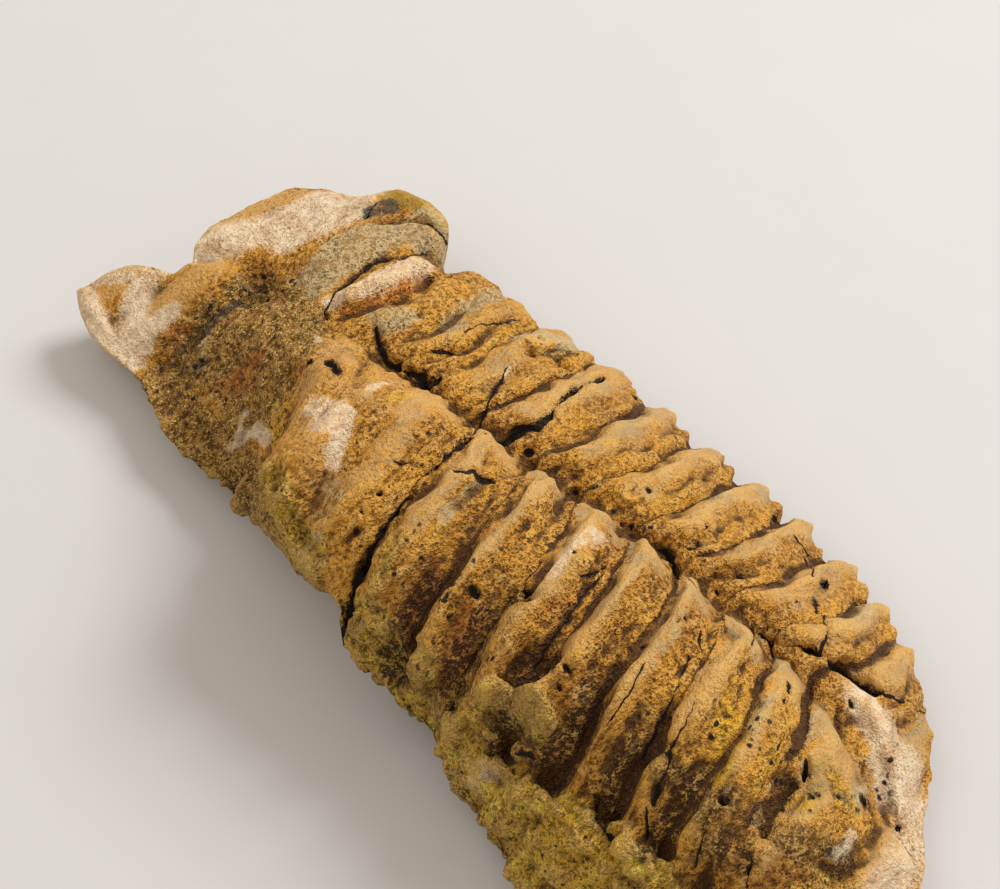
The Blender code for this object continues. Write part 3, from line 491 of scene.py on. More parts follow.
def body_height(x, y, u):
    """The back without its relief: vaulted axis, ribs falling to the margin, broken head."""
    furrow, half = glide(FURROW_HEIGHT, x), glide(AXIS_HALF_WIDTH, x)
    right_end = np.where(x > RIGHT[-1][0], RIGHT[-1][1] - (x - RIGHT[-1][0]) * 1.2, glide(RIGHT, x))
    left_end = glide(LEFT, x)
    vault = np.abs((y + finger_cut(y, u)) / half) ** VAULT
    z = furrow + glide(AXIS_RISE, x) * np.clip(1 - vault, 0, 1)
    right = np.clip((y - half) / np.maximum(right_end - half, 1), 0, 1.3)
    z -= (furrow - glide(MARGIN_RIGHT, x)) * right ** RIB_FALL
    left = np.clip((-half - y) / np.maximum(-half - left_end, 0.8), 0, 1.3)
    low = glide(MARGIN_LEFT, x)
    z -= (furrow - low) * left ** FLANK_FALL
    z -= LEDGE_DROP * ease(LEDGE_WIDTH, 0, y - left_end) * ease(0, 5, x)
    broken = ease(*BROKEN_HEAD, x) * (1 - ease(0, BROKEN_SLOPE, y - left_end))
    return z - broken * np.maximum(z - low, 0)


def segment_relief(x, y, u):
    """Rings across the axis and ribs beside it."""
    f = phase(u)
    half = glide(AXIS_HALF_WIDTH, x)
    rise = glide(RING_RISE, u)
    ring = (glide(RING, f) - PROFILE_LEVEL) * rise
    ring *= 1 + END_GROOVES * ease(1, -7.2, y) * ease(35, 28, x)
    ring *= ease(-half - 1.4, -half + 0.4, y) * (1 - FAINT_END * ease(2.5, 7, y))
    finger = ease(half + 0.2, half - 1.5, y + FINGER_TURN * finger_cut(y, u))
    rib = (glide(RIB, f) - PROFILE_LEVEL) * glide(RIB_RISE, u)
    rib *= 0.5 + 0.5 * ease(half + 1, half + 6, y)
    beside = ease(half + 0.2, half + 2.2, y)
    low = FURROW_LEVEL * rise * (1 - finger) * (1 - beside)
    return (ring * finger + rib * beside + low) * ease(-15.5, -12.5, u)


def furrow_relief(x, y, u):
    """The furrows on both sides of the axis, with a pit at each joint on the right."""
    f = phase(u)
    half = glide(AXIS_HALF_WIDTH, x)
    (right, right_width), (left, left_width), (pit, pit_reach) = FURROW_RIGHT, FURROW_LEFT, FURROW_PIT
    trough = np.exp(-((y - half - 0.1) / right_width) ** 2)
    pits = pit * np.exp(-(np.minimum(f, 1 - f) / pit_reach) ** 2) * span(-7, -4, 30, 33, u)
    on_right = trough * (right * span(-18, -15, 37, 40, x) + pits)
    on_left = left * np.exp(-((y + half + 0.2) / left_width) ** 2) * span(3, 6, 36, 40, x)
    return -on_right - on_left


def relief(x, y, u):
    """Everything that stands out of the body or is sunk in it."""
    z = segment_relief(x, y, u) + furrow_relief(x, y, u)
    for line, width, height in FORMS + FINE_FORMS:
        z += height * np.exp(-(near(line, x, y) / width) ** 2)
    for cx, cy, length, width, depth in HOLLOWS:
        z -= depth * np.exp(-((x - cx) / length) ** 2 - ((y - cy) / width) ** 2)
    x, y = shaken(x, y)
    for line, width, depth in SLITS:
        z -= depth * np.exp(-(near(line, x, y) / (width + 0.08)) ** 2)
    for cx, cy, radius, depth in PITS:
        z -= depth * np.exp(-(np.hypot(x - cx, y - cy) / radius) ** 4)
    return z


def rough_rock(x, y):
    """1 on the broken head and the rock of the left flank, 0 on the shell."""
    half = glide(AXIS_HALF_WIDTH, x)
    flank = ease(-half, -half - 1.0, y) * ease(2, 5, x)
    head = span(-27, -24, -12, -9.5, x) * ease(11, 8, y)
    return np.maximum(flank, head)


def outward(x, y):
    """Directions in plan that point away from the stone's core line."""
    out = np.stack(off_segment(*CORE, x, y), -1)
    return out / (np.linalg.norm(out, axis=-1, keepdims=True) + 1e-9)


def surface(u, w, depth):
    """Points of the stone: depth 0 is the back, depth 1 the edge of the flat belly."""
    tips = 1 - ease(0, 0.7, depth)
    p = plan(u, w, tips)
    x, y = p[..., 0], p[..., 1]
    rock = np.maximum(rough_rock(x, y), ease(0, 0.3, depth))
    worn = wandering(x, y, u)
    top = body_height(x, y, worn) + relief(x, y, worn)
    out = outward(x, y)
    broken = ease(0.3, -0.6, out[..., 1])
    turn = depth * math.pi / 2
    rounded = (TUCK + TUCK_RIGHT * ease(0.2, 0.9, out[..., 1])) * (1 - np.cos(turn))
    low = np.clip(glide(MARGIN_LEFT, x) / np.maximum(top, 1), 0.1, 1)
    hanging = np.clip((depth - 1 + low) / low, 0, 1) ** 1.1
    inward = rounded * (1 - broken) + UNDERCUT * low * top * hanging * broken
    fall = np.sin(turn) * (1 - broken) + depth * broken
    p = p - out * inward[..., None]
    point = np.concatenate([p, (top * (1 - fall))[..., None]], -1)
    swell = sum(height * noise(point, size, seed) for size, height, seed in LUMPS) * rock
    point[..., :2] += out * (swell * np.sin(2 * turn))[..., None]
    point[..., 2] += swell * np.cos(turn) ** 2
    return point


# ---------------------------------------------------------------- weathering of the sheet, and masks of painted shade


def normals_of(sheet):
    """Unit normals of a grid of points."""
    across = np.cross(np.gradient(sheet, axis=0), np.gradient(sheet, axis=1))
    return across / (np.linalg.norm(across, axis=-1, keepdims=True) + 1e-12)


def softened(sheet, times):
    """The grid of points after averaging each with its neighbours, times over."""
    for _ in range(times):
        wide = np.pad(sheet, ((1, 1), (0, 0), (0, 0)), "edge")
        sheet = (wide[:-2] + 2 * sheet + wide[2:]) / 4
        wide = np.pad(sheet, ((0, 0), (1, 1), (0, 0)), "edge")
        sheet = (wide[:, :-2] + 2 * sheet + wide[:, 2:]) / 4
    return sheet


def sunk(sheet, normals, times):
    """How far each point lies under the average of its neighbourhood, in millimetres."""
    return ((softened(sheet, times) - sheet) * normals).sum(-1)


def painted(strokes, x, y):
    """Strength of the strokes at each point."""
    best = np.zeros(np.shape(x))
    for line, width, strength in strokes:
        best = np.maximum(best, strength * ease(1.35 * width, 0.45 * width, near(line, x, y)))
    return best


def pit_distance(x, y):
    """Distance from the nearest pit's edge, negative inside it."""
    best = np.full(np.shape(x), 1.0)
    for cx, cy, radius, _ in PITS:
        best = np.minimum(best, np.hypot(x - cx, y - cy) - 0.75 * radius)
    return best


def slit_offsets(x, y):
    """Distance from the nearest crack's edge, and the offset from its middle in half widths."""
    best, offset = np.full(np.shape(x), 1.0), np.full(np.shape(x), 6.0)
    for line, width, _ in SLITS:
        for a, b in zip(line, line[1:]):
            ox, oy = off_segment(a, b, x, y)
            away = np.hypot(ox, oy)
            side = np.sign((b[0] - a[0]) * oy - (b[1] - a[1]) * ox)
            closer = away - width < best
            best = np.where(closer, away - width, best)
            offset = np.where(closer, side * away / width, offset)
    return best, np.clip(offset, -6, 6)


# How pale a ring and a rib are from one joint to the next.
PALE_RING = [(0, 0), (0.1, 0.3), (0.2, 0.85), (0.34, 1), (0.43, 0.8), (0.5, 0.35), (0.6, 0.05), (1, 0)]
PALE_RIB = [(0, 0.3), (0.1, 0.7), (0.2, 0.9), (0.40, 1), (0.54, 0.7), (0.64, 0.35), (0.8, 0.2), (1, 0.3)]


def pale_bands(x, y, u):
    """The smooth pale band behind each joint, widest at the right ends of the rings."""
    ragged = sum(reach * plan_noise(x, 0.4 * y, size, seed) for size, reach, seed in BAND_EDGES)
    f = np.clip(phase(u) + ragged, 0, 1)
    half = glide(AXIS_HALF_WIDTH, x)
    ends = span(half - 4.2, half - 2.4, half - 0.5, half + 0.4, y) * span(0, 0.1, 0.75, 0.95, f)
    ring = np.maximum(glide(PALE_RING, f), 0.95 * ends)
    ring *= 1 - 0.8 * ease(-2.5, -6, y)
    rib = glide(PALE_RIB, f) * ease(half + 1.5, half + 3.5, y)
    beside = ease(half - 0.3, half + 0.6, y)
    return (ring * (1 - beside) + rib * beside) * span(-16, 1, 38, 40, u)


def shaded_left_joints(x, y, u):
    """Painted shade in the joints at the left ends of the rings, on the side away from the light."""
    joint = ease(0.30, 0.06, phase(u)) + ease(0.52, 0.80, phase(u))
    return joint * span(-10.6, -9.4, -5.5, -1.0, y) * span(1, 6, 31, 36, x)


def joint_wave(u):
    """A wave along U that crosses zero at the joints of the trunk alone."""
    ends = ease(-3, -5, u) + ease(33, 36, u)
    return np.sin(math.pi * np.interp(u, JOINTS, np.arange(len(JOINTS)))) + 2 * ends


# How far each patch smooths the stone.
SMOOTHNESS = [("pale", 1), ("cream", 0.8), ("tan", 0.6), ("moss", 0.8), ("grey", 0.4)]


def zones_of(x, y, u, depth):
    """Masks from 0 to 1 of everything that colours or roughens the stone."""
    u = wandering(x, y, u)
    fading = 1 - 0.85 * ease(0.08, 0.5, depth)
    zones = {name: painted(strokes, x, y) * fading for name, strokes in PATCHES.items()}
    rock = np.maximum(rough_rock(x, y) * ease(4, 6, x), ease(0.02, 0.25, depth) * ease(6, 0, y))
    zones["olive"] = np.maximum(zones["olive"], rock * ease(-2, 3, x))
    zones["grit"] = np.maximum(zones["grit"], ease(0.02, 0.2, depth) * ease(6, 2, y) * 0.8)
    covered = np.maximum(np.maximum(zones["olive"], zones["grit"]), ease(0.15, 0.6, depth))
    zones["pale"] = pale_bands(x, y, u) * (1 - covered) * (1 - zones["shade_brown"])
    smooth = sum(share * zones[name] for name, share in SMOOTHNESS)
    zones["rough"] = np.clip(1 - smooth, 0, 1)
    below = ease(0.05, 0.2, depth)
    zones["pit"] = pit_distance(*shaken(x, y)) + below
    zones["gap"], zones["slit"] = slit_offsets(*shaken(x, y))
    zones["gap"] += below
    zones["groove"] = shaded_left_joints(x, y, u)
    zones["joint"] = joint_wave(u) + below
    outer = np.hypot(x - BORDER_CENTRE, y) > BORDER_RADIUS
    zones["border"] = np.where(outer, near(BORDER, x, y), 0) * ease(34, 36, x)
    return zones


# Weathering: (zone, size of its lumps, height, seed).
GRAIN = [("rough", 1.1, 0.11, 21), ("rough", 0.5, 0.12, 22), ("cream", 0.6, 0.07, 23),
         ("pale", 1.4, 0.08, 24), ("pale", 0.6, 0.04, 25)]
LUMPY = [("olive", 2.6, 1.2, 31), ("olive", 1.3, 0.6, 32), ("olive", 0.8, 0.4, 33),
         ("grit", 1.8, 0.35, 41), ("grit", 0.8, 0.3, 42), ("grit", 0.45, 0.3, 43)]
# Ledges that run along the rings and ribs: (size across, length, height on rough, on pale, seed).
LEDGES = [(0.9, 5.0, 0.34, 0.16, 71), (0.5, 2.0, 0.28, 0.14, 72)]
LEDGE_DRIFT = (2.5, 0.4, 13)  # how they stray from their lines: (size, reach, seed)
WORN_ALL_OVER = [(4.2, 0.22, 11), (1.7, 0.12, 12)]  # (size of its lumps, height, seed)
CREASE_DEPTH = 0.3  # depth of the creases between the lumps, as a share of their height


def unevenness(sheet, zones, u):
    """Wear along the normals: gentle on the shell, coarse on the rock and the gritty break."""
    wear = sum(height * noise(sheet, size, seed) for size, height, seed in WORN_ALL_OVER)
    size, reach, seed = LEDGE_DRIFT
    drift = u + reach * noise(sheet, size, seed)
    on_shell = ease(-14, -8, sheet[..., 0]) * (1 - np.maximum(zones["olive"], zones["grit"]))
    for size, length, rough, pale, seed in LEDGES:
        ledge = plan_noise(drift / size, sheet[..., 1] / length, 1.0, seed)
        wear += (rough * zones["rough"] + pale * zones["pale"]) * on_shell * ledge
    for name, size, height, seed in GRAIN:
        wear += height * zones[name] * noise(sheet, size, seed)
    for name, size, height, seed in LUMPY:
        wear += height * zones[name] * (np.abs(noise(sheet, size, seed)) - CREASE_DEPTH)
    return wear


CROWDING = 0.06  # how much closer the columns lie on the left half
BELLY_EDGE = 0.85  # how far down the walls the weathering starts to fade, 1 at the belly
CLEARANCE = 0.02  # least height of the walls over the table
HOLLOWNESS = [(4, 6), (40, 1.4)]  # what counts as a hollow: (rounds of averaging, weight)


def lay_sheet(sizes):
    """Grid of points over the stone, with its zones: the back, framed by rows that go down the walls."""
    rows = np.linspace(U_FRONT, U_TAIL, sizes.rows)
    t = np.linspace(0, 1, sizes.columns)
    columns = t - CROWDING * np.sin(math.pi * t) * (1 - t)
    walls = sizes.wall_rows
    half_a, half_b = (len(rows) - 1) / 2, (len(columns) - 1) / 2
    a, b = np.meshgrid(np.arange(len(rows) + 2 * walls) - walls - half_a,
                       np.arange(len(columns) + 2 * walls) - walls - half_b, indexing="ij")
    level = np.maximum(np.maximum(np.abs(a) - half_a, np.abs(b) - half_b), 0)
    u = np.interp(a * half_a / (half_a + level) + half_a, np.arange(len(rows)), rows)
    w = np.interp(b * half_b / (half_b + level) + half_b, np.arange(len(columns)), columns)
    depth = level / walls
    sheet = surface(u, w, depth)
    x, y = sheet[..., 0], sheet[..., 1]
    zones = zones_of(x, y, u, depth)
    wear = unevenness(sheet, zones, wandering(x, y, u)) * (1 - ease(BELLY_EDGE, 1, depth)) * sizes.wear
    sheet += normals_of(sheet) * wear[..., None]
    sheet[..., 2] = np.where(depth >= 1, 0, np.maximum(sheet[..., 2], CLEARANCE))
    normals = normals_of(sheet)
    zones["hollow"] = sum(weight * sunk(sheet, normals, times) for times, weight in HOLLOWNESS)
    return sheet, zones


# ---------------------------------------------------------------- finishes


class Wire:
    """An output socket, so that shader maths can be written as Python expressions."""

    def __init__(self, tree, socket):
        self.tree = tree
        self.socket = socket

    def node(self, kind, settings, values, output=0):
        """Adds a node, sets it up, feeds its sockets and gives back one of its outputs."""
        made = self.tree.nodes.new(kind)
        for name, value in settings.items():
            setattr(made, name, value)
        for name, value in values.items():
            if isinstance(value, Wire):
                self.tree.links.new(value.socket, made.inputs[name])
            else:
                made.inputs[name].default_value = value
        return Wire(self.tree, made.outputs[output])

    def maths(self, operation, a, b):
        """Adds a Math node."""
        return self.node("ShaderNodeMath", {"operation": operation}, {0: a, 1: b})

    def __add__(self, other):
        return self.maths("ADD", self, other)

    def __radd__(self, other):
        return self.maths("ADD", other, self)

    def __sub__(self, other):
        return self.maths("SUBTRACT", self, other)

    def __rsub__(self, other):
        return self.maths("SUBTRACT", other, self)

    def __mul__(self, other):
        return self.maths("MULTIPLY", self, other)

    def __rmul__(self, other):
        return self.maths("MULTIPLY", other, self)

    def size(self):
        """How far this value is from 0."""
        return self.maths("ABSOLUTE", self, 0.0)

    def wave(self):
        """Sine of this value."""
        return self.maths("SINE", self, 0.0)

    def between(self, low, high):
        """0 at low, 1 at high, with soft ends."""
        limits = {"Value": self, "From Min": low, "From Max": high}
        return self.node("ShaderNodeMapRange", {"interpolation_type": "SMOOTHSTEP"}, limits)

    def blend(self, first, second):
        """Mixes two colours, this wire being the amount of the second."""
        colours = {0: self, 6: first, 7: second}
        return self.node("ShaderNodeMix", {"data_type": "RGBA"}, colours, 2)

    def grain(self, size_mm, detail=2.0, roughness=0.55):
        """Noise at this wire's coordinates with features of about size_mm."""
        values = {"Vector": self, "Scale": 1 / (size_mm * MM), "Detail": detail, "Roughness": roughness}
        return self.node("ShaderNodeTexNoise", {}, values)

    def stretched(self, x, y, z):
        """This wire's coordinates, scaled along each axis."""
        return self.node("ShaderNodeVectorMath", {"operation": "MULTIPLY"}, {0: self, 1: (x, y, z)})

    def bent(self, size_mm, reach_mm):
        """This wire's coordinates, bent by noise with features of about size_mm."""
        noise_values = {"Vector": self, "Scale": 1 / (size_mm * MM), "Detail": 0.0}
        drift = self.node("ShaderNodeTexNoise", {}, noise_values, "Color")
        values = {0: drift, 1: (reach_mm * MM,) * 3, 2: self}
        return self.node("ShaderNodeVectorMath", {"operation": "MULTIPLY_ADD"}, values)

    def cells(self, size_mm):
        """Distance to the nearest of scattered points about size_mm apart."""
        return self.node("ShaderNodeTexVoronoi", {}, {"Vector": self, "Scale": 1 / (size_mm * MM)})


# Zones of the sheet that the finish reads, each from the attribute of its name.
ZONES = (*PATCHES, "joint", "pale", "rough", "groove", "pit", "gap", "slit", "hollow", "border")


class StoneGrain:
    """Noises and masks over the stone, from which its colour and its relief are mixed."""

    def __init__(self, place):
        self.zone = {name: place.node("ShaderNodeAttribute", {"attribute_name": name}, {}, "Fac")
                     for name in ZONES}
        along = place.stretched(1.0, 0.6, 1.0)
        bent = place.bent(0.7, 0.5)
        self.broad, self.medium = place.grain(5.0, 1), along.grain(1.1, 2)
        self.fine, self.dust = along.grain(0.36, 2, 0.75), place.grain(0.15, 1, 0.6)
        self.gravel, self.dots, self.rubble = bent.cells(0.34), bent.cells(0.8), bent.cells(1.5)
        self.ragged = (self.medium - 0.5) * 1.5 + (self.fine - 0.5) * 1.1
        self.holes = self.gravel.between(0.38, 0.24)
        seam = (self.zone["joint"] + (self.fine - 0.5) * 0.4).size().between(0.11, 0.04)
        self.seam = seam * (1 - self.zone["olive"])
        slit = (self.zone["slit"] + (self.fine - 0.5) * 2.0).size().between(1.5, 0.8)
        pit = (self.zone["pit"] + (self.fine - 0.5) * 0.3).between(0.05, -0.05)
        self.gap = (slit * self.zone["gap"].between(0.2, 0.08) + pit).between(0, 1)

    def patch(self, name, low=0.3, high=0.7):
        """A zone with a ragged edge."""
        return (self.zone[name] + self.ragged).between(low, high)


def coated(colour, coats):
    """The colour after each (amount, coat) is laid over it in turn."""
    for amount, coat in coats:
        colour = amount.blend(colour, coat)
    return colour


def clean_colour(stone, colours):
    """Colour of the shell, the rock, the grit and the crusts, before any dirt or painted shade; the grit
    has painted glints.
    """
    shell = stone.broad.between(0.35, 0.65).blend(colours.ochre, colours.clay)
    shell = (stone.dust.between(0.45, 0.65) * 0.3).blend(shell, colours.sand)
    pale = coated(stone.broad.between(0.4, 0.7).blend(colours.pale, colours.bone), [
        (stone.medium.between(0.48, 0.62) * 0.5, colours.ochre),
        (stone.fine.between(0.5, 0.36) * 0.5, colours.clay),
    ])
    olive = (stone.rubble + stone.fine * 0.8).between(0.95, 0.55).blend(colours.moss, colours.olive)
    olive = coated(olive, [
        (stone.medium.between(0.5, 0.66) * 0.6, colours.sand),
        ((stone.rubble + stone.fine * 0.6).between(0.88, 1.08) * 0.65, colours.umber),
        (stone.dust.between(0.56, 0.64) * 0.6, colours.sand),
    ])
    grit = (stone.medium.between(0.38, 0.62) * 0.4).blend(colours.loam, colours.rust)
    grit = coated(grit, [
        ((stone.gravel + stone.fine * 0.6).between(0.80, 0.56), colours.grit),
        # bright grains with painted glints
        (stone.dust.between(0.55, 0.62) * 0.9, colours.grain_glint),
    ])
    grey = stone.fine + (stone.medium - 0.5) * 0.5
    grey = grey.between(0.44, 0.56).blend(colours.bone, colours.grey)
    cream = stone.medium.between(0.4, 0.65).blend(colours.cream, colours.blush)
    return coated(shell, [
        (stone.patch("pale", 0.1, 1.0) * 0.9, pale),
        (stone.patch("tan", 0.1, 0.9) * 0.8, colours.tan),
        (stone.patch("olive") * 0.9, olive),
        (stone.patch("grit") * 0.92, grit),
        (stone.patch("moss", 0.2, 0.8) * 0.75, colours.lichen),
        (stone.patch("rust") * 0.65, colours.rust),
        (stone.patch("yellow") * 0.5, colours.yellow),
        (stone.patch("grey", 0.2, 0.9) * 0.75, grey),
        (stone.patch("cream", 0.15, 0.9) * 0.88, cream),
        (stone.patch("soot") * 0.8, colours.soot),
    ])


def dirtied_and_shaded(colour, stone, colours):
    """The colour with dirt and painted shade in the hollows and recesses, painted shade at the left ends of
    the rings and black painted shade in cracks and pits, worn edges lightened as wear and painted
    highlight, and pores.
    """
    rough, olive, grit, hollow = (stone.zone[name] for name in ("rough", "olive", "grit", "hollow"))
    # painted shade: the joints at the left ends of the rings lie on the side away from the light
    left_end_shade = (stone.zone["groove"] + stone.ragged).between(0.1, 1.0)
    shade = (stone.patch("shade_brown", 0.3, 1.1) + left_end_shade).between(0, 1)
    grains = (stone.fine + (stone.dust - 0.5) * 0.5).between(0.58, 0.46) * 0.5 + 0.45
    wear = (rough * 0.8 + stone.broad * 0.5 + stone.medium * 0.5 + hollow * 0.12).between(0.75, 1.4)
    pitted = (stone.fine + (stone.medium - 0.5) * 0.4).between(0.47, 0.39) * wear
    tops = (stone.fine + (stone.medium - 0.5) * 0.3).between(0.54, 0.63) * wear
    # wear and painted highlight: lighter where the surface stands above its neighbourhood, more on the rock
    worn = (0 - hollow).between(0.25, 1.1) * (olive * 0.3 + 0.3)
    # dirt and painted shade: darker where the surface lies below its neighbourhood, most in the grooves and
    # the rock's crevices
    dirt_and_shade = (hollow + (stone.fine - 0.5) * 0.6).between(0.1, 1.2) * (0.9 - olive * 0.6 - grit * 0.5)
    pores = stone.holes * stone.medium.between(0.44, 0.58) * (rough * 0.8 + 0.15)
    pores = pores * (1 - grit - olive * 0.4)
    joint = stone.seam * stone.medium.between(0.38, 0.52)
    specks = stone.dots.between(0.24, 0.15) * stone.medium.between(0.46, 0.56) * (rough * 0.8 + 0.2)
    specks = specks + stone.dots.between(0.35, 0.25) * stone.patch("pocked")
    return coated(colour, [
        (shade * grains, colours.shade_brown),
        (tops * 0.5, colours.sand),
        (worn, colours.sand),
        (dirt_and_shade, colours.umber),
        (pitted * 0.8, colours.umber),
        (pores * 0.75 + joint * 0.8, colours.umber),
        (specks * 0.85, colours.pit),
        # painted shade: black at the bottom of the cracks and pits
        (stone.gap, colours.pit),
    ])


def fine_relief(stone):
    """Height of the grain, in units of BUMP_REACH."""
    rough, olive, grit, border = (stone.zone[name] for name in ("rough", "olive", "grit", "border"))
    terraces = (border * 19.0 + stone.fine * 6.0).wave() * border.between(0.5, 1.0)
    coarse = 0.62 + rough * 0.45 + grit * 0.9 + olive * 1.1
    height = (stone.fine * 2.6 + stone.dust * 0.9) * coarse
    height = height - stone.fine.between(0.47, 0.39) * rough * 0.5
    height = height - stone.holes * (rough * 0.6 + 0.1) - stone.gap * 2.0 - stone.seam
    return height + terraces * 0.09 - stone.gravel * stone.gravel * (grit + olive * 0.7)


def new_material(name):
    """A material, its node tree, its shader and the coordinates of the piece that wears it."""
    material = bpy.data.materials.new(name)
    material.use_nodes = True
    tree = material.node_tree
    place = tree.nodes.new("ShaderNodeTexCoord").outputs["Object"]
    return material, tree, tree.nodes["Principled BSDF"], Wire(tree, place)


def stone_material(colours):
    """Fossil limestone: ochre shell with pale bands, gritty breaks, rock, crusts, cracks and pits."""
    material, tree, shader, place = new_material("weathered_limestone")
    stone = StoneGrain(place)
    colour = dirtied_and_shaded(clean_colour(stone, colours), stone, colours)
    roughness = 0.88 - stone.patch("pale") * 0.15 - stone.dust * 0.1
    values = {"Strength": 1.0, "Distance": BUMP_REACH * MM, "Height": fine_relief(stone)}
    bump = place.node("ShaderNodeBump", {}, values, "Normal")
    for socket, wire in (("Base Color", colour), ("Roughness", roughness), ("Normal", bump)):
        tree.links.new(wire.socket, shader.inputs[socket])
    shader.inputs["Specular IOR Level"].default_value = 0.35
    return material


def table_material(colour):
    """Plain matt white board."""
    material, tree, shader, place = new_material("white_board")
    mottle = place.grain(9.0, 3).between(0.3, 0.7) * 0.06
    tree.links.new(mottle.blend(colour, [c * 0.8 for c in colour]).socket, shader.inputs["Base Color"])
    shader.inputs["Roughness"].default_value = 0.75
    return material


# ---------------------------------------------------------------- what the user can change


def tint(name, description, red, green, blue):
    """A colour that the user can change, given as display values."""
    return FloatVectorProperty(name=name, description=description, subtype="COLOR", size=4, min=0, max=1,
                               default=srgb(red, green, blue))


class StoneColours(bpy.types.PropertyGroup):
    ochre: tint("Ochre", "Main colour of the shell", 214, 152, 46)
    clay: tint("Clay", "Second colour of the shell", 186, 124, 34)
    # sand also lays the painted highlight on raised edges and tops
    sand: tint("Sand", "Light grains and worn edges", 224, 180, 96)
    # umber is dirt and painted shade in the hollows, and the colour of pores, pitting and joints
    umber: tint("Umber", "Dirt in the grooves", 80, 48, 12)
    # painted shade colour, for the left ends of the rings and the recesses
    shade_brown: tint("Earth", "Darkest dirt, at the left ends of the rings", 48, 31, 11)
    pale: tint("Pale band", "Smooth band behind each joint", 188, 152, 94)
    bone: tint("Bone", "Greyer part of the pale bands", 168, 148, 106)
    tan: tint("Tan", "Smooth tan patches", 204, 158, 92)
    olive: tint("Olive", "Rock on the left flank", 255, 228, 84)
    moss: tint("Moss", "Darker rock on the left flank", 222, 178, 54)
    lichen: tint("Lichen", "Olive patches on the hooked rim and the tail", 150, 124, 46)
    grit: tint("Grit", "Grains on the broken head", 216, 170, 58)
    loam: tint("Loam", "Dark ground between the grains", 132, 92, 22)
    rust: tint("Rust", "Rusty patches", 190, 98, 22)
    yellow: tint("Yellow", "Yellow ochre patches", 222, 172, 22)
    # bright grains with painted glints
    grain_glint: tint("Spark", "Bright grains on the broken head", 240, 212, 140)
    cream: tint("Cream", "White crusts", 230, 214, 184)
    blush: tint("Blush", "Pinkish part of the crusts", 208, 178, 142)
    grey: tint("Grey", "Grey-green patches", 184, 172, 134)
    soot: tint("Soot", "Dark blue-grey streaks", 58, 56, 56)
    # painted shade at the bottom of cracks and pits, also the dark pocks
    pit: tint("Pit", "Bottom of cracks and pits", 30, 17, 5)


class StoneSizes(bpy.types.PropertyGroup):
    rows: IntProperty(
        name="Rows", description="Rows of the back, along the body", default=380, min=90)
    columns: IntProperty(
        name="Columns", description="Columns across the back", default=182, min=40)
    wall_rows: IntProperty(
        name="Wall rows", description="Rows down to the belly", default=21, min=3)
    wear: FloatProperty(
        name="Wear", description="Height of the weathering, 1 as found", default=1.0, min=0, soft_max=2)


class StageSettings(bpy.types.PropertyGroup):
    board: tint("Board", "Colour of the table", 203, 203, 203)
    azimuth: FloatProperty(
        name="Azimuth", description="Direction of the camera round the stone", default=math.radians(42),
        subtype="ANGLE")
    elevation: FloatProperty(
        name="Elevation", description="Height of the camera over the horizon", default=math.radians(52),
        subtype="ANGLE")
    distance: FloatProperty(
        name="Distance", description="From the camera to the stone", default=0.2, min=0.05, unit="LENGTH")
    lens: FloatProperty(
        name="Lens", description="Focal length of the camera", default=100, min=20,
        subtype="DISTANCE_CAMERA")


# ---------------------------------------------------------------- pieces


def add_piece(name, bm, material):
    """Links a bmesh as an object that lies in the frame."""
    mesh = bpy.data.meshes.new(name)
    bm.to_mesh(mesh)
    bm.free()
    mesh.materials.append(material)
    mesh.shade_smooth()
    piece = bpy.data.objects.new(name, mesh)
    bpy.context.scene.collection.objects.link(piece)
    return piece


class FOSSIL_OT_stone(bpy.types.Operator):
    """Build the weathered stone over the solid"""
    bl_idname = "fossil.add_stone"
    bl_label = "Stone"

    def execute(self, context):
        sheet, zones = lay_sheet(context.scene.stone_sizes)
        along, across = sheet.shape[:2]
        points = (sheet - (*FOOTPRINT_CENTRE, 0)) * MM
        points = np.clip(points, CAD_LOW, CAD_HIGH)
        bm = bmesh.new()
        bmesh.ops.create_grid(bm, x_segments=along - 1, y_segments=across - 1, size=1)
        grid = np.array([v.co for v in bm.verts])
        a = np.rint((grid[:, 0] + 1) / 2 * (along - 1)).astype(int)
        b = np.rint((grid[:, 1] + 1) / 2 * (across - 1)).astype(int)
        for vertex, point in zip(bm.verts, points[a, b]):
            vertex.co = point
        bmesh.ops.holes_fill(bm, edges=[e for e in bm.edges if e.is_boundary], sides=0)
        bmesh.ops.recalc_face_normals(bm, faces=bm.faces)
        if bm.calc_volume(signed=True) < 0:
            bmesh.ops.reverse_faces(bm, faces=bm.faces)
        stone = add_piece("weathered_stone", bm, stone_material(context.scene.stone_colours))
        for name, values in zones.items():
            attribute = stone.data.attributes.new(name, "FLOAT", "POINT")
            attribute.data.foreach_set("value", values[a, b].astype(np.float32))
        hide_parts(NODE)
        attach(stone, "root")
        return {"FINISHED"}


def area_light(name, power, size, place, colour):
    """Soft square light, turned towards the stone."""
    light = bpy.data.lights.new(name, "AREA")
    light.energy = power
    light.size = size
    light.color = colour
    lamp = bpy.data.objects.new(name, light)
    lamp.location = place
    lamp.rotation_euler = (-Vector(place)).to_track_quat("-Z", "Y").to_euler()
    bpy.context.scene.collection.objects.link(lamp)


# Lights: (name, watts, width, place, colour).
LIGHTS = [("window", 3.6, 0.3, (0.10, 0.46, 0.44), (0.98, 0.98, 1.0)),
          ("room", 2.2, 0.9, (-0.5, -0.4, 0.8), (1.0, 0.95, 0.9))]
ROOM_COLOUR, ROOM_STRENGTH = (0.90, 0.80, 0.69, 1), 0.68
TABLE_HALF = 1.5  # metres
AIM = (0.904, 9.402, 9.0)  # layout point that the camera is turned to


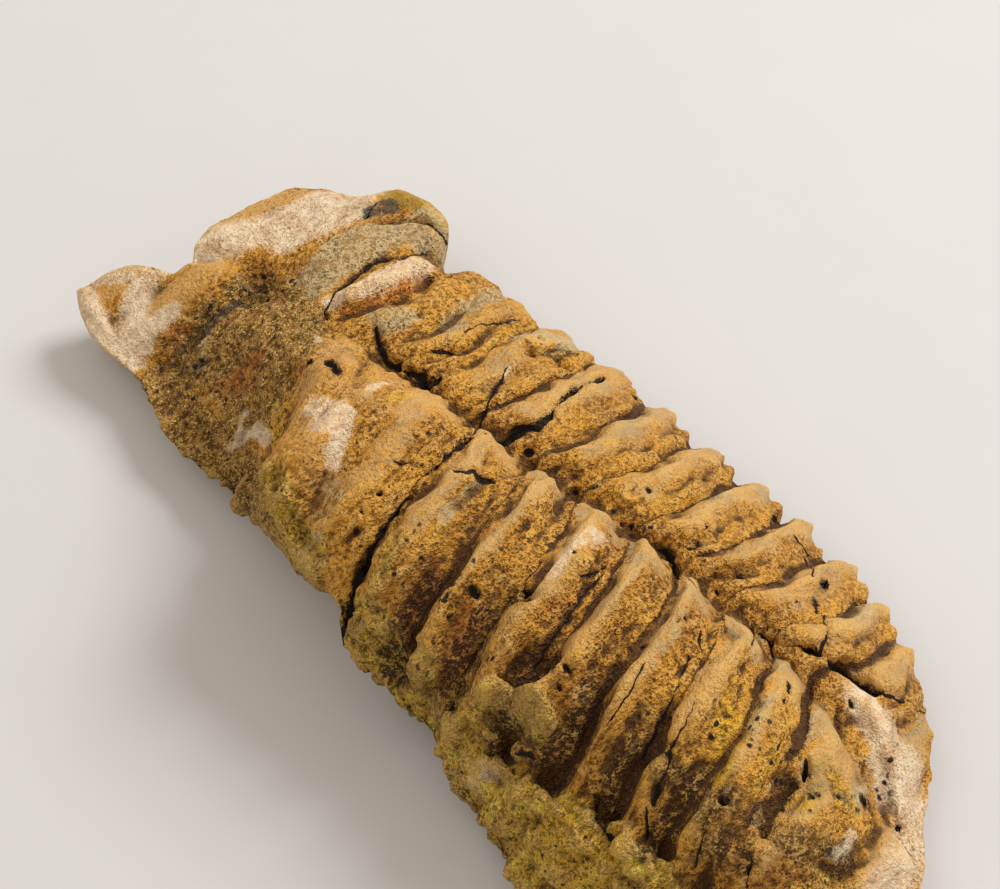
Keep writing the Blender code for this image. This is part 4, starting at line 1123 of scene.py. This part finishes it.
class FOSSIL_OT_stage(bpy.types.Operator):
    """Add the table, the lights and the camera"""
    bl_idname = "fossil.add_stage"
    bl_label = "Stage"

    def execute(self, context):
        settings = context.scene.stage_settings
        bm = bmesh.new()
        bmesh.ops.create_grid(bm, x_segments=1, y_segments=1, size=TABLE_HALF)
        add_piece("table", bm, table_material(settings.board))
        for light in LIGHTS:
            area_light(*light)
        context.scene.view_settings.view_transform = "Standard"
        world = bpy.data.worlds.new("soft_room")
        world.use_nodes = True
        background = world.node_tree.nodes["Background"]
        background.inputs["Color"].default_value = ROOM_COLOUR
        background.inputs["Strength"].default_value = ROOM_STRENGTH
        context.scene.world = world
        level, up = math.cos(settings.elevation), math.sin(settings.elevation)
        back = Vector((math.sin(settings.azimuth) * level, -math.cos(settings.azimuth) * level, up))
        camera = bpy.data.objects.new("camera", bpy.data.cameras.new("camera"))
        camera.data.lens = settings.lens
        camera.data.clip_start = 0.01
        aim = (np.array(AIM) - (*FOOTPRINT_CENTRE, 0)) * MM
        camera.location = Vector(aim) + back * settings.distance
        camera.rotation_euler = (-back).to_track_quat("-Z", "Y").to_euler()
        context.scene.collection.objects.link(camera)
        context.scene.camera = camera
        return {"FINISHED"}


class FOSSIL_PT_sidebar(bpy.types.Panel):
    """Builds the fossil and its stage"""
    bl_label = "Fossil trilobite"
    bl_idname = "FOSSIL_PT_sidebar"
    bl_space_type = "VIEW_3D"
    bl_region_type = "UI"
    bl_category = "Fossil"

    def draw(self, context):
        layout = self.layout
        scene = context.scene
        for group in (scene.stone_sizes, scene.stone_colours, scene.stage_settings):
            box = layout.box()
            for name in group.bl_rna.properties.keys():
                if name not in ("rna_type", "name"):
                    box.prop(group, name)
        for operator in OPERATORS:
            layout.operator(operator.bl_idname)


OPERATORS = (FOSSIL_OT_stone, FOSSIL_OT_stage)
CLASSES = (StoneColours, StoneSizes, StageSettings, *OPERATORS, FOSSIL_PT_sidebar)


def register():
    for item in CLASSES:
        bpy.utils.register_class(item)
    bpy.types.Scene.stone_colours = PointerProperty(type=StoneColours)
    bpy.types.Scene.stone_sizes = PointerProperty(type=StoneSizes)
    bpy.types.Scene.stage_settings = PointerProperty(type=StageSettings)


def unregister():
    del bpy.types.Scene.stone_colours
    del bpy.types.Scene.stone_sizes
    del bpy.types.Scene.stage_settings
    for item in reversed(CLASSES):
        bpy.utils.unregister_class(item)


def main():
    """Builds everything."""
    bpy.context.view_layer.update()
    register()
    bpy.ops.fossil.add_stone()
    bpy.ops.fossil.add_stage()


if __name__ == "__main__":
    main()
